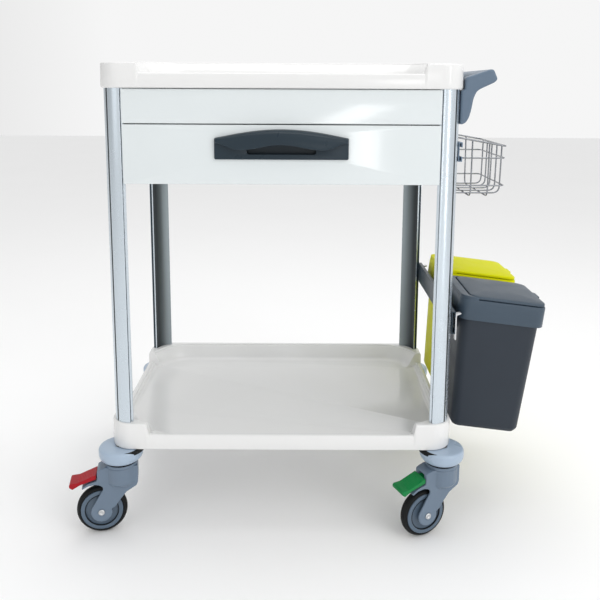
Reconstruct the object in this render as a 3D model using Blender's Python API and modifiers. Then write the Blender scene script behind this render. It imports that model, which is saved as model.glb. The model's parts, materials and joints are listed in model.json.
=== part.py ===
"""Instrument trolley for a ward: two ABS trays on four aluminium columns, one drawer, a push handle,
a wire basket, two tilted waste bins and four swivel casters. Metres, +Z up, +X to the push handle."""

import math

import bmesh
import bpy
from mathutils import Matrix, Vector

# The cart frame has its origin on the floor, midway between the columns. Its front faces -Y.
SPAN_X = 0.686
SPAN_Y = 0.467
HALF_X = SPAN_X / 2
HALF_Y = SPAN_Y / 2
# The assembly's box is centred on the part's origin, so the cart frame stands off it by this much.
CART_X = -0.05746
CART_Y = 0.00604
GAP = 0.0003

# Corner columns: a quarter-round extrusion, cut across its inner corner. Each flank ends in a lip,
# set back from the outer face, which the drawer front and the fascia cover.
COLUMN = 0.0415
COLUMN_CORE = 0.037
COLUMN_RADIUS = 0.0345
COLUMN_WALL = 0.0018
LIP_SETBACK = 0.006
LIP = 0.003

# Trays. Both have raised corner blocks, and the top one has a taller back.
TRAY_OVERHANG = 0.0065
TRAY_HALF_X = HALF_X + TRAY_OVERHANG
TRAY_HALF_Y = HALF_Y + TRAY_OVERHANG
TRAY_RADIUS = 0.045
TRAY_FLOOR = 0.020
TRAY_SKIN = 0.004
BLOCK_LENGTH = 0.078
POCKET_TOP_INSET = 0.011
POCKET_FLOOR_INSET = 0.021
POCKET_RADIUS = 0.090
UNDERSIDE_WALL = 0.012
UNDERSIDE_POST = 0.085
LOWER_BOTTOM = 0.187
LOWER_RIM = 0.219
LOWER_BLOCK = 0.242
TOP_BOTTOM = 0.9135
TOP_RIM = 0.942
TOP_BLOCK = 0.961
TOP_REAR = 0.975

# Drawer unit.
DRAWER_BOTTOM = 0.731
DRAWER_SPLIT = 0.846
FRONT_HALF = 0.304
FRONT_DEPTH = 0.0055
SHEET = 0.0012
PANEL = 0.0015
PANEL_RECESS = 0.010
SPLIT_GAP = 0.001
BOX_HALF = 0.2720
BOX_LENGTH = 0.4125
BOX_LOW = 0.742
BOX_HIGH = 0.836
SLIDE_LENGTH = 0.400
SLIDE_SETBACK = 0.022
SLIDE_CENTRE = 0.780
SLIDE_SPACE = 0.0137
SLIDE_WALL = 0.0013

# Drawer handle, in front view.
HANDLE_HALF = 0.128
HANDLE_LOW = 0.7795
HANDLE_SHOULDER = 0.8200
HANDLE_TOP = 0.8370
HANDLE_PLATE = 0.005
HANDLE_REACH = 0.017
GRIP_WALL = 0.004
GRIP_MIDDLE = 0.8105
GRIP_DIP = 0.8005
GRIP_END = 0.8130
DIP_AT = 0.62
FINGER_HALF = 0.066
FINGER_LOW = 0.7895
FINGER_HIGH = 0.8250
CUP_MARGIN_X = 0.008
CUP_MARGIN_Z = 0.004
CUP_DEPTH = 0.016
CUP_WALL = 0.0016

# Side fittings on the push-handle side.
SIDE_FACE = HALF_X + GAP
RAIL_DEPTH = 0.008
RAIL_HALF_Y = 0.2080
BASKET_RAIL_LOW = 0.774
BASKET_RAIL_HIGH = 0.812
BASKET_OUT = 0.4655
BASKET_FRONT = -0.115
BASKET_BACK = 0.105
BASKET_RADIUS = 0.012
BASKET_LOW = 0.690
BASKET_RIM = 0.8185
BASKET_RIM_FALL = 0.175
BASKET_DRAFT = 0.002
BASKET_WALL = 0.003
BIN_RAIL_LOW = 0.424
BIN_RAIL_HIGH = 0.471
PUSH_ARM_WIDTH = 0.028
PUSH_ARM_INSET = 0.020

# Casters. The wheel's axle trails the swivel axis.
CASTER_INSET_X = 0.012
CASTER_INSET_Y = 0.016
WHEEL_RADIUS = 0.051
WHEEL_WIDTH = 0.024
TRAIL = 0.042
FORK_TOP = 0.148
FORK_HALF = 0.020
CAP_LOW = 0.158
CAP_RADIUS = 0.045
STEM_RADIUS = 0.006
STEM_DEPTH = 0.024
HOUSING_RADIUS = 0.033
BOSS_RADIUS = 0.0215
AXLE_RADIUS = 0.004
RIM_RADIUS = 0.0425
PEDAL_PIVOT = (0.0340, 0, 0.1330)
CASTERS = {
    "front_left": (-1, -1, 190),
    "front_right": (1, -1, 204),
    "rear_left": (-1, 1, 165),
    "rear_right": (1, 1, 158),
}

# Waste bins: the sizes are in a frame that leans out with the bin, from its front bottom rim corner.
BIN_TILT = math.radians(7.0)
BIN_CORNER_X = 0.370
BIN_CORNER_Z = 0.449
BIN_TOP_WIDTH = 0.1665
BIN_BOTTOM_IN = 0.0190
BIN_BOTTOM_OUT = 0.1645
BIN_HEIGHT = 0.242
BIN_LENGTH = 0.172
BIN_PITCH = 0.215
BIN_FIRST_Y = -0.1785
BIN_RADIUS = 0.018
BIN_WALL = 0.0025
BIN_FOOT = 0.008
SKIRT_OUT = 0.1750
SKIRT_IN = -0.0060
SKIRT_LOW = -0.0030
SKIRT_HIGH = 0.0400
SKIRT_RADIUS = 0.022
SKIRT_WALL = 0.0018
DECK = 0.0150
FLAP_Z = 0.0450
BINS = {"grey": 0, "yellow": 1}

# Stands an outline drawn in XY up in XZ.
STAND = Matrix.Rotation(math.pi / 2, 4, "X")

PARTS = bpy.data.collections.new("instrument_trolley")
CUTTERS = bpy.data.collections.new("cutters")


def clear_scene():
    for obj in list(bpy.data.objects):
        bpy.data.objects.remove(obj, do_unlink=True)
    bpy.context.scene.collection.children.link(PARTS)
    bpy.context.scene.collection.children.link(CUTTERS)


def make_material(name, colour, roughness, metallic=0.0):
    material = bpy.data.materials.new(name)
    material.use_nodes = True
    shader = material.node_tree.nodes["Principled BSDF"]
    shader.inputs["Base Color"].default_value = (*colour, 1)
    shader.inputs["Roughness"].default_value = roughness
    shader.inputs["Metallic"].default_value = metallic
    return material


def empty(name, location, parent=None, turn=0.0):
    obj = bpy.data.objects.new(name, None)
    obj.location = location
    obj.rotation_euler.z = turn
    obj.parent = parent
    obj.empty_display_size = 0.05
    PARTS.objects.link(obj)
    return obj


def add(name, mesh, parent, material=None, matrix=None):
    """A part when it has a material, otherwise a cutter or a piece that is joined to a part."""
    obj = bpy.data.objects.new(name, mesh)
    obj.parent = parent
    if matrix is not None:
        obj.matrix_local = matrix
    if material is None:
        CUTTERS.objects.link(obj)
        obj.hide_render = True
        obj.display_type = "WIRE"
        return obj
    PARTS.objects.link(obj)
    mesh.materials.clear()
    mesh.materials.append(material)
    return obj


def combine(obj, other, operation):
    modifier = obj.modifiers.new(f"{operation.lower()} {other.name}", "BOOLEAN")
    modifier.operation = operation
    modifier.object = other
    modifier.solver = "EXACT"
    return obj


def baked(obj):
    """The mesh of an object with its modifiers applied. The object goes."""
    bpy.context.view_layer.update()
    graph = bpy.context.evaluated_depsgraph_get()
    mesh = bpy.data.meshes.new_from_object(obj.evaluated_get(graph))
    mesh.name = obj.name
    bpy.data.objects.remove(obj)
    return mesh


def weld(mesh):
    work = bmesh.new()
    work.from_mesh(mesh)
    bmesh.ops.remove_doubles(work, verts=work.verts, dist=1e-5)
    bmesh.ops.recalc_face_normals(work, faces=work.faces)
    work.to_mesh(mesh)
    work.free()
    return mesh


def outline_mesh(name, loops, depth):
    """A flat outline in XY, thickened to this depth and centred on z = 0. A second loop is a hole."""
    curve = bpy.data.curves.new(name, "CURVE")
    curve.dimensions = "2D"
    curve.fill_mode = "BOTH"
    curve.extrude = depth / 2
    for points in loops:
        spline = curve.splines.new("POLY")
        spline.points.add(len(points) - 1)
        spline.use_cyclic_u = True
        for place, (x, y) in zip(spline.points, points):
            place.co = (x, y, 0, 1)
    guide = bpy.data.objects.new(name, curve)
    CUTTERS.objects.link(guide)
    return weld(baked(guide))


def upright(low, high):
    """Lays an outline's XY on the cart's XY, from one height to another."""
    return Matrix.Translation((0, 0, (low + high) / 2))


def across(front, back):
    """Stands an outline up in the cart's XZ plane, between two places along Y."""
    return Matrix.Translation((0, (front + back) / 2, 0)) @ STAND


def box_mesh(name, low, high):
    work = bmesh.new()
    bmesh.ops.create_cube(work, size=1)
    size = Vector(high) - Vector(low)
    middle = (Vector(high) + Vector(low)) / 2
    bmesh.ops.scale(work, vec=size, verts=work.verts)
    bmesh.ops.translate(work, vec=middle, verts=work.verts)
    mesh = bpy.data.meshes.new(name)
    work.to_mesh(mesh)
    work.free()
    return mesh


def open_box(name, low, high, open_side, wall, parent, material):
    """A sheet-metal box with one side missing. Its walls go inwards from the given box."""
    mesh = box_mesh(name, low, high)
    work = bmesh.new()
    work.from_mesh(mesh)
    side = Vector(open_side)
    missing = [face for face in work.faces if face.normal.dot(side) > 0.9]
    bmesh.ops.delete(work, geom=missing, context="FACES_ONLY")
    work.to_mesh(mesh)
    work.free()
    obj = add(name, mesh, parent, material)
    solidify(obj, wall)
    return obj


def turned(name, profile, steps, parent, material, closed=True, matrix=None):
    """A turned piece: radius and height points that run down its outer side."""
    mesh = bpy.data.meshes.new(name)
    points = [(radius, 0, height) for radius, height in profile]
    edges = [(i, i + 1) for i in range(len(points) - 1)]
    if closed:
        edges.append((len(points) - 1, 0))
    mesh.from_pydata(points, edges, [])
    obj = add(name, mesh, parent, material, matrix)
    screw = obj.modifiers.new("turn", "SCREW")
    screw.steps = steps
    screw.render_steps = steps
    screw.use_merge_vertices = True
    screw.merge_threshold = 0.00005
    screw.use_smooth_shade = True
    return obj


def arc(x, y, radius, start, stop, steps):
    """Points on an arc about (x, y), from one angle to another in degrees."""
    angles = [math.radians(start + (stop - start) * i / steps) for i in range(steps + 1)]
    return [(x + radius * math.cos(a), y + radius * math.sin(a)) for a in angles]


def rounded_rectangle(left, right, front, back, radius, steps=5):
    points = arc(right - radius, back - radius, radius, 0, 90, steps)
    points += arc(left + radius, back - radius, radius, 90, 180, steps)
    points += arc(left + radius, front + radius, radius, 180, 270, steps)
    points += arc(right - radius, front + radius, radius, 270, 360, steps)
    return points


def loft(name, loops, cap_start=True, cap_end=True):
    """Walls between loops with equal numbers of points, and a cap over the first and the last."""
    work = bmesh.new()
    rings = [[work.verts.new(point) for point in loop] for loop in loops]
    count = len(loops[0])
    for low, high in zip(rings, rings[1:]):
        for i in range(count):
            j = (i + 1) % count
            work.faces.new((low[i], low[j], high[j], high[i]))
    if cap_start:
        work.faces.new(rings[0])
    if cap_end:
        work.faces.new(rings[-1])
    bmesh.ops.recalc_face_normals(work, faces=work.faces)
    mesh = bpy.data.meshes.new(name)
    work.to_mesh(mesh)
    work.free()
    return mesh


def level(points, height):
    return [(x, y, height) for x, y in points]


def lower_tray_and_top_tray(cart, material):
    """Each tray is cut from one slab: the recess, the open underside, the low front rim and the side rims."""
    trays = {
        "lower_tray": (LOWER_BOTTOM, LOWER_RIM, LOWER_BLOCK, LOWER_BLOCK, LOWER_RIM),
        "top_tray": (TOP_BOTTOM, TOP_RIM, TOP_BLOCK, TOP_REAR, TOP_BLOCK),
    }
    outline = rounded_rectangle(-TRAY_HALF_X, TRAY_HALF_X, -TRAY_HALF_Y, TRAY_HALF_Y, TRAY_RADIUS, 7)
    for name, (bottom, rim, block, rear, side) in trays.items():
        slab = outline_mesh(name, [outline], rear - bottom)
        tray = add(name, slab, cart, material, upright(bottom, rear))
        cutters = [
            tray_pocket(name, bottom + TRAY_FLOOR, rear, cart),
            tray_hollow(name, bottom, cart),
            front_cut(name, rim, rear, cart),
            side_cut(name, side, block, rear, cart),
        ]
        for cutter in cutters:
            combine(tray, cutter, "DIFFERENCE")


def tray_rectangle(inset):
    x = TRAY_HALF_X - inset
    y = TRAY_HALF_Y - inset
    return rounded_rectangle(-x, x, -y, y, POCKET_RADIUS, 7)


def tray_pocket(name, floor, rear, cart):
    """The recess above a tray's floor, with sloping walls and corners wide enough to leave the blocks."""
    low = level(tray_rectangle(POCKET_FLOOR_INSET), floor)
    high = level(tray_rectangle(POCKET_TOP_INSET), rear + 0.01)
    return add(f"{name}_pocket", loft(name, [low, high]), cart)


def tray_hollow(name, bottom, cart):
    """The underside is open, apart from a solid post at each corner."""
    x = TRAY_HALF_X - UNDERSIDE_WALL
    y = TRAY_HALF_Y - UNDERSIDE_WALL
    post = UNDERSIDE_POST
    ring = [(x, -y + post), (x, y - post), (x - post, y), (-x + post, y)]
    ring += [(-px, -py) for px, py in ring]
    depth = TRAY_FLOOR - TRAY_SKIN
    mesh = outline_mesh(name, [ring], 2 * depth)
    return add(f"{name}_underside", mesh, cart, None, upright(bottom - depth, bottom + depth))


def front_cut(name, rim, rear, cart):
    """Takes the front rim down between the corner blocks, with sloping ends."""
    low = TRAY_HALF_X - BLOCK_LENGTH
    step = rear - rim
    high = low + step / 2
    outline = [(-low, rim), (low, rim), (high, rear + step), (-high, rear + step)]
    mesh = outline_mesh(name, [outline], TRAY_HALF_Y)
    return add(f"{name}_front_gap", mesh, cart, None, across(-1.4 * TRAY_HALF_Y, -0.4 * TRAY_HALF_Y))


def side_cut(name, side, block, rear, cart):
    """Takes the side rims down: level between the blocks, or rising from the front block to the rear."""
    near = TRAY_HALF_Y - BLOCK_LENGTH
    over = rear + 0.02
    if side < block:
        outline = [(-near, side), (near, side), (near + 0.012, over), (-near - 0.012, over)]
    else:
        past = -TRAY_HALF_Y - 0.1
        outline = [(past, block), (-near, block), (near, rear), (near, over), (past, over)]
    matrix = Matrix.Rotation(math.pi / 2, 4, "Z") @ STAND
    return add(f"{name}_side_gap", outline_mesh(name, [outline], 3 * TRAY_HALF_X), cart, None, matrix)


def corner_columns(cart, material):
    for name, (sx, sy) in {
        "front_left": (-1, -1),
        "front_right": (1, -1),
        "rear_left": (-1, 1),
        "rear_right": (1, 1),
    }.items():
        sections = (column_outline(), column_bore())
        loops = [[(sx * x, sy * y) for x, y in section] for section in sections]
        low = LOWER_BLOCK + GAP
        high = TOP_BOTTOM - GAP
        add(f"column_{name}", outline_mesh(name, loops, high - low), cart, material, upright(low, high))


def column_outline():
    """The rear right column's outer section, with a lip on each flank."""
    arc_x = HALF_X - COLUMN_RADIUS
    arc_y = HALF_Y - COLUMN_RADIUS
    points = arc(arc_x, arc_y, COLUMN_RADIUS, 0, 90, 7)
    back = LIP_SETBACK + LIP
    flank = [(COLUMN_CORE, 0), (COLUMN_CORE, LIP_SETBACK), (COLUMN, LIP_SETBACK), (COLUMN, back)]
    points += [(HALF_X - along, HALF_Y - deep) for along, deep in flank]
    points += [(HALF_X - deep, HALF_Y - along) for along, deep in reversed(flank)]
    return points


def column_bore():
    """The hollow inside the section. It leaves the lips solid."""
    wall = COLUMN_WALL
    arc_x = HALF_X - COLUMN_RADIUS
    arc_y = HALF_Y - COLUMN_RADIUS
    points = arc(arc_x, arc_y, COLUMN_RADIUS - wall, 0, 90, 7)
    across_cut = COLUMN + LIP_SETBACK + LIP - wall * math.sqrt(2)
    along = COLUMN_CORE - wall
    for x, y in ((along, wall), (along, across_cut - along), (across_cut - along, along), (wall, along)):
        points.append((HALF_X - x, HALF_Y - y))
    return points


def drawer_housing(cart, sheet, steel):
    """The panels round the drawer, the fixed fascia over it and the carriers of its slides."""
    low = DRAWER_BOTTOM
    high = TOP_BOTTOM - GAP
    reach_x = HALF_X - COLUMN - GAP
    reach_y = HALF_Y - COLUMN - GAP
    outer = HALF_X - PANEL_RECESS
    for name, side in (("left", -1), ("right", 1)):
        xs = sorted((side * outer, side * (outer - PANEL)))
        panel = box_mesh(name, (xs[0], -reach_y, low), (xs[1], reach_y, high))
        add(f"side_panel_{name}", panel, cart, sheet)
        section = [(side * x, z) for x, z in carrier_section(outer - PANEL - GAP, low + 0.012, high - 0.060)]
        carrier = outline_mesh(name, [section], 2 * reach_y)
        add(f"slide_carrier_{name}", carrier, cart, steel, across(-reach_y, reach_y))
    back = HALF_Y - PANEL_RECESS
    panel = box_mesh("back_panel", (-reach_x, back - PANEL, low), (reach_x, back, high))
    add("back_panel", panel, cart, sheet)
    face = -HALF_Y
    fascia_low = (-FRONT_HALF, face, DRAWER_SPLIT + SPLIT_GAP)
    fascia_high = (FRONT_HALF, face + FRONT_DEPTH, high - SPLIT_GAP)
    open_box("front_fascia", fascia_low, fascia_high, (0, 1, 0), SHEET, cart, sheet)


def carrier_section(panel, low, high):
    """A top-hat strip: two flanges against the side panel and a web out by the slide."""
    web = BOX_HALF + SLIDE_SPACE
    return [
        (panel, low),
        (panel, low + PANEL),
        (web + PANEL, low + PANEL),
        (web + PANEL, high),
        (panel, high),
        (panel, high + PANEL),
        (web, high + PANEL),
        (web, low),
    ]


def slide_section(side, web, reach, height):
    """A C-section that opens away from its web, in the XZ plane."""
    wall = SLIDE_WALL
    top = height / 2
    mouth = web + reach
    inner = web + math.copysign(wall, reach)
    section = [
        (web, -top),
        (mouth, -top),
        (mouth, -top + wall),
        (inner, -top + wall),
        (inner, top - wall),
        (mouth, top - wall),
        (mouth, top),
        (web, top),
    ]
    return [(side * x, z + SLIDE_CENTRE) for x, z in section]


def drawer_slides(cart, drawer, middle, steel):
    """Three nested members each side: fixed to the carrier, running between, and on the drawer."""
    front = -HALF_Y + SLIDE_SETBACK
    web = BOX_HALF + SLIDE_SPACE - GAP
    members = {
        "outer": (cart, web, -0.0125, 0.0450),
        "middle": (middle, web - SLIDE_WALL - 0.0012, -0.0095, 0.0410),
        "inner": (drawer, BOX_HALF + GAP, 0.0085, 0.0370),
    }
    for name, (body, place, reach, height) in members.items():
        for side_name, side in (("left", -1), ("right", 1)):
            section = slide_section(side, place, reach, height)
            mesh = outline_mesh(name, [section], SLIDE_LENGTH)
            add(f"slide_{name}_{side_name}", mesh, body, steel, across(front, front + SLIDE_LENGTH))


def drawer(parent, sheet, plastic):
    """The drawer's box and folded front, and the finger cup in the window through both."""
    face = -HALF_Y
    back = face + FRONT_DEPTH
    front_low = (-FRONT_HALF, face, DRAWER_BOTTOM)
    front_high = (FRONT_HALF, back, DRAWER_SPLIT - SPLIT_GAP)
    front = open_box("drawer_front", front_low, front_high, (0, 1, 0), SHEET, parent, sheet)
    cup_half = FINGER_HALF + CUP_MARGIN_X
    cup_low = FINGER_LOW - CUP_MARGIN_Z
    cup_high = FINGER_HIGH + CUP_MARGIN_Z
    window_low = (-cup_half - GAP, face - 0.01, cup_low - GAP)
    window_high = (cup_half + GAP, face + CUP_DEPTH + GAP, cup_high + GAP)
    window = add("handle_window", box_mesh("window", window_low, window_high), parent)
    combine(front, window, "DIFFERENCE")
    low = (-cup_half, face, cup_low)
    high = (cup_half, face + CUP_DEPTH, cup_high)
    open_box("drawer_handle_cup", low, high, (0, -1, 0), CUP_WALL, parent, plastic)
    low = (-BOX_HALF, back + GAP, BOX_LOW)
    high = (BOX_HALF, back + BOX_LENGTH, BOX_HIGH)
    box = open_box("drawer_box", low, high, (0, 0, 1), SHEET, parent, sheet)
    combine(box, window, "DIFFERENCE")
    drawer_handle(parent, plastic)


def handle_top(x):
    """The arched top edge of the handle."""
    rise = HANDLE_TOP - HANDLE_SHOULDER
    return HANDLE_SHOULDER + rise * math.cos(math.pi / 2 * x / HANDLE_HALF)


def handle_lip(x):
    """The grip's lower edge: it rises over the fingers, dips beside them and rises to the ends."""
    part = abs(x) / HANDLE_HALF
    if part < DIP_AT:
        wave = 0.5 + 0.5 * math.cos(math.pi * part / DIP_AT)
        return GRIP_DIP + (GRIP_MIDDLE - GRIP_DIP) * wave
    wave = 0.5 - 0.5 * math.cos(math.pi * (part - DIP_AT) / (1 - DIP_AT))
    return GRIP_DIP + (GRIP_END - GRIP_DIP) * wave


def drawer_handle(parent, material):
    """A plate with a finger window, and over it a grip that bows forwards from its arched top edge."""
    face = -HALF_Y - GAP
    stations = [HANDLE_HALF * (i / 10 - 1) for i in range(21)]
    top = [(x, handle_top(x)) for x in reversed(stations)]
    outline = [(-HANDLE_HALF, HANDLE_LOW), (HANDLE_HALF, HANDLE_LOW)] + top
    window = [
        (-FINGER_HALF, FINGER_LOW),
        (FINGER_HALF, FINGER_LOW),
        (FINGER_HALF, FINGER_HIGH),
        (-FINGER_HALF, FINGER_HIGH),
    ]
    plate = outline_mesh("plate", [outline, window], HANDLE_PLATE)
    handle = add("drawer_handle", plate, parent, material, across(face - HANDLE_PLATE, face))
    sections = [grip_section(x * 0.996, face) for x in stations]
    combine(handle, add("handle_grip", loft("handle_grip", sections), parent), "UNION")


def grip_section(x, face):
    """The grip's section at one station: it hangs from the top edge and bows out over the fingers."""
    bow = math.sqrt(max(0.0, 1 - (x / HANDLE_HALF) ** 2))
    reach = HANDLE_PLATE + 0.002 + HANDLE_REACH * bow
    depth = min(GRIP_WALL, reach - HANDLE_PLATE + 0.001)
    top = handle_top(x) - 0.0002
    low = handle_lip(x)
    rise = top - low
    back = face - HANDLE_PLATE / 2
    section = [
        (back, top),
        (face - 0.60 * reach, top - 0.0012),
        (face - 0.90 * reach, low + 0.65 * rise),
        (face - reach, low),
        (face - reach + depth, low),
        (face - 0.86 * reach + depth, low + 0.60 * rise),
        (face - 0.52 * reach + depth / 2, top - 0.0052),
        (back, top - 0.0062),
    ]
    return [(x, y, z) for y, z in section]


def push_handle(cart, material):
    """A moulded handle: an arm on each column of the right side, and the grip bar between them."""
    clear = TRAY_HALF_X + 0.001
    under = TOP_BOTTOM - 0.001
    bar = [(0.3990, 0.952), (0.4050, 0.951), (0.4130, 0.933), (0.4080, 0.927)]
    arm = [(SIDE_FACE, under), (clear, under), (clear, 0.936)] + bar
    arm += [(0.3735, 0.910), (0.3655, 0.890), (0.3620, 0.870), (0.3565, 0.854), (0.3500, 0.847)]
    arm += [(SIDE_FACE, 0.846)]
    grip = bar + [(0.3850, 0.9165), (0.3840, 0.9455)]
    end = HALF_Y - PUSH_ARM_INSET
    width = PUSH_ARM_WIDTH
    half = width / 2
    handle = add("push_handle", outline_mesh("arm", [arm], width), cart, material, across(-end, -end + width))
    rear = add("handle_rear_arm", outline_mesh("arm", [arm], width), cart, None, across(end - width, end))
    length = 2 * end - width
    bar_mesh = outline_mesh("bar", [grip], length)
    middle = add("handle_bar", bar_mesh, cart, None, across(-end + half, end - half))
    combine(handle, rear, "UNION")
    combine(handle, middle, "UNION")


def solidify(obj, wall):
    """Gives an open surface a wall that goes inwards."""
    shell = obj.modifiers.new("wall", "SOLIDIFY")
    shell.thickness = wall
    shell.offset = -1
    shell.use_even_offset = True


def wire_basket(cart, material, rail_material):
    """The basket's outer shape and its open top. The rim falls towards the outer side."""
    outer = SIDE_FACE + RAIL_DEPTH
    rail = (SIDE_FACE, -RAIL_HALF_Y, BASKET_RAIL_LOW), (outer, RAIL_HALF_Y, BASKET_RAIL_HIGH)
    add("basket_rail", box_mesh("basket_rail", *rail), cart, rail_material)
    side = outer + GAP
    draft = BASKET_DRAFT
    low = rounded_rectangle(
        side + draft,
        BASKET_OUT - draft,
        BASKET_FRONT + draft,
        BASKET_BACK - draft,
        BASKET_RADIUS,
        4,
    )
    high = rounded_rectangle(side, BASKET_OUT, BASKET_FRONT, BASKET_BACK, BASKET_RADIUS, 4)
    rim = [(x, y, BASKET_RIM - BASKET_RIM_FALL * (x - side)) for x, y in high]
    mesh = loft("wire_basket", [level(low, BASKET_LOW), rim], cap_end=False)
    solidify(add("wire_basket", mesh, cart, material), BASKET_WALL)


def bin_hanger(cart, material, bracket_material):
    outer = SIDE_FACE + RAIL_DEPTH
    rail = (SIDE_FACE, -RAIL_HALF_Y, BIN_RAIL_LOW), (outer, RAIL_HALF_Y, BIN_RAIL_HIGH)
    add("bin_rail", box_mesh("bin_rail", *rail), cart, material)
    end = RAIL_HALF_Y - 0.004
    for name, front in (("front", -end), ("rear", end - 0.010)):
        low = (outer + GAP, front, BIN_RAIL_LOW - 0.014)
        high = (outer + 0.0035, front + 0.010, BIN_RAIL_HIGH - 0.006)
        add(f"bin_rail_bracket_{name}", box_mesh(name, low, high), cart, bracket_material)


def waste_bins(cart, lid_materials, body_materials):
    """Each bin leans out. Its rim carries a flap, hinged along the side next to the cart."""
    for name, index in BINS.items():
        frame = empty(f"bin_{name}", (BIN_CORNER_X, BIN_FIRST_Y + index * BIN_PITCH, BIN_CORNER_Z), cart)
        frame.rotation_euler.y = BIN_TILT
        bin_body(name, frame, body_materials[name])
        bin_rim(name, frame, lid_materials[name])
        bin_flap(name, frame, lid_materials[name])


def bin_rectangle(left, right, inset, radius):
    """An outline across a bin, this far in from its front and back."""
    return rounded_rectangle(left, right, inset, BIN_LENGTH - inset, radius, 4)


def bin_body(name, frame, material):
    inset = BIN_FOOT * 0.75
    high = bin_rectangle(0, BIN_TOP_WIDTH, 0.003, BIN_RADIUS)
    low = bin_rectangle(BIN_BOTTOM_IN, BIN_BOTTOM_OUT, 0.012, BIN_RADIUS)
    foot = bin_rectangle(BIN_BOTTOM_IN + inset, BIN_BOTTOM_OUT - inset, 0.012 + inset, BIN_RADIUS - 0.004)
    loops = [level(foot, -BIN_HEIGHT), level(low, -BIN_HEIGHT + BIN_FOOT), level(high, 0.012)]
    body = add(f"bin_{name}_body", loft(f"{name}_body", loops, cap_end=False), frame, material)
    solidify(body, BIN_WALL)
    hook = box_mesh("hook", (-0.0120, 0.050, -0.036), (0.0050, BIN_LENGTH - 0.050, -0.004))
    combine(body, add(f"bin_{name}_hook", hook, frame), "UNION")


def bin_rim(name, frame, material):
    """A skirt round the top of the body, with a deck along the hinge side."""
    wall = SKIRT_WALL
    outer = bin_rectangle(SKIRT_IN, SKIRT_OUT, 0, SKIRT_RADIUS)
    inner = bin_rectangle(SKIRT_IN + wall, SKIRT_OUT - wall, wall, SKIRT_RADIUS - wall)
    hole = bin_rectangle(DECK + 0.006, SKIRT_OUT - 0.0105, 0.0110, 0.014)
    loops = [level(outer, SKIRT_LOW), level(outer, SKIRT_HIGH), level(hole, SKIRT_HIGH + 0.0020)]
    loops += [level(hole, SKIRT_HIGH - 0.0010), level(inner, SKIRT_HIGH - 0.0030), level(inner, SKIRT_LOW)]
    mesh = loft(f"{name}_rim", loops + loops[:1], cap_start=False, cap_end=False)
    add(f"bin_{name}_rim", weld(mesh), frame, material)


def bin_flap(name, frame, material):
    """The flap lies over the rim. Its pivot is on the line between its hinge edge and the deck."""
    pivot = empty(f"bin_{name}_hinge", (DECK, 0, FLAP_Z), frame)
    out = SKIRT_OUT - DECK
    low = bin_rectangle(-0.0005, out - 0.0030, 0.0020, 0.020)
    high = bin_rectangle(0.0005, out - 0.0045, 0.0035, 0.018)
    crown = bin_rectangle(0.0300, out - 0.0350, 0.0300, 0.014)
    loops = [level(low, -0.0022), level(low, 0.0010), level(high, 0.0024), level(crown, 0.0065)]
    flap = add(f"bin_{name}_flap", loft(f"{name}_flap", loops), pivot, material)
    middle = BIN_LENGTH / 2
    tab = box_mesh("tab", (out - 0.0100, middle - 0.016, -0.0020), (out + 0.0030, middle + 0.016, 0.0012))
    combine(flap, add(f"bin_{name}_tab", tab, pivot), "UNION")


def fork_outline():
    """The fork from the side: u runs from the swivel axis towards the axle, the other axis is up."""
    front = [(-HOUSING_RADIUS, FORK_TOP), (-HOUSING_RADIUS, 0.112), (-0.030, 0.104)]
    front += [(-0.010, 0.092), (0.005, 0.074), (0.0135, 0.061)]
    boss = arc(TRAIL, WHEEL_RADIUS, BOSS_RADIUS, 165, 385, 10)
    leg = [(0.0530, 0.0740), (0.0460, 0.0865), (0.0385, 0.0985), (0.0375, 0.1050)]
    fender = [(0.0440, 0.1100), (0.0540, 0.1120), (0.0670, 0.1098), (0.0790, 0.1030), (0.0805, 0.1065)]
    fender += [(0.0680, 0.1150), (0.0490, 0.1205), (0.0480, 0.1330)]
    return front + boss + leg + fender + [(0.0330, 0.1440), (0.0330, FORK_TOP)]


def fork_mesh():
    """One solid: the leg outline and a round housing, less the wheel well, the bores and the pedal slot."""
    fork = add("fork", outline_mesh("fork", [fork_outline()], 2 * FORK_HALF), None, None, STAND)
    radius = HOUSING_RADIUS
    profile = [(0, FORK_TOP), (radius - 0.003, FORK_TOP), (radius, FORK_TOP - 0.003)]
    profile += [(radius, 0.114), (radius - 0.005, 0.107), (0, 0.107)]
    housing = turned("fork_housing", profile, 24, None, None, closed=False)
    sideways = Matrix.Translation((TRAIL, 0, WHEEL_RADIUS)) @ STAND
    upwards = Matrix.Translation((0, 0, FORK_TOP))
    cutters = [
        disc("wheel_well", WHEEL_RADIUS + 0.0035, WHEEL_WIDTH + 0.005, 32, sideways),
        disc("axle_bore", AXLE_RADIUS + GAP, 3 * FORK_HALF, 12, sideways),
        disc("stem_bore", STEM_RADIUS + GAP, 2 * STEM_DEPTH + 0.002, 12, upwards),
        add("pedal_slot", box_mesh("pedal_slot", (0.022, -0.0095, 0.1215), (0.06, 0.0095, 0.16)), None),
    ]
    combine(fork, housing, "UNION")
    for cutter in cutters:
        combine(fork, cutter, "DIFFERENCE")
    mesh = baked(fork)
    for helper in [housing] + cutters:
        bpy.data.objects.remove(helper)
    return mesh


def disc(name, radius, depth, segments, matrix):
    work = bmesh.new()
    sides = {"radius1": radius, "radius2": radius, "depth": depth}
    bmesh.ops.create_cone(work, cap_ends=True, segments=segments, **sides)
    mesh = bpy.data.meshes.new(name)
    work.to_mesh(mesh)
    work.free()
    return add(name, mesh, None, None, matrix)


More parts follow.
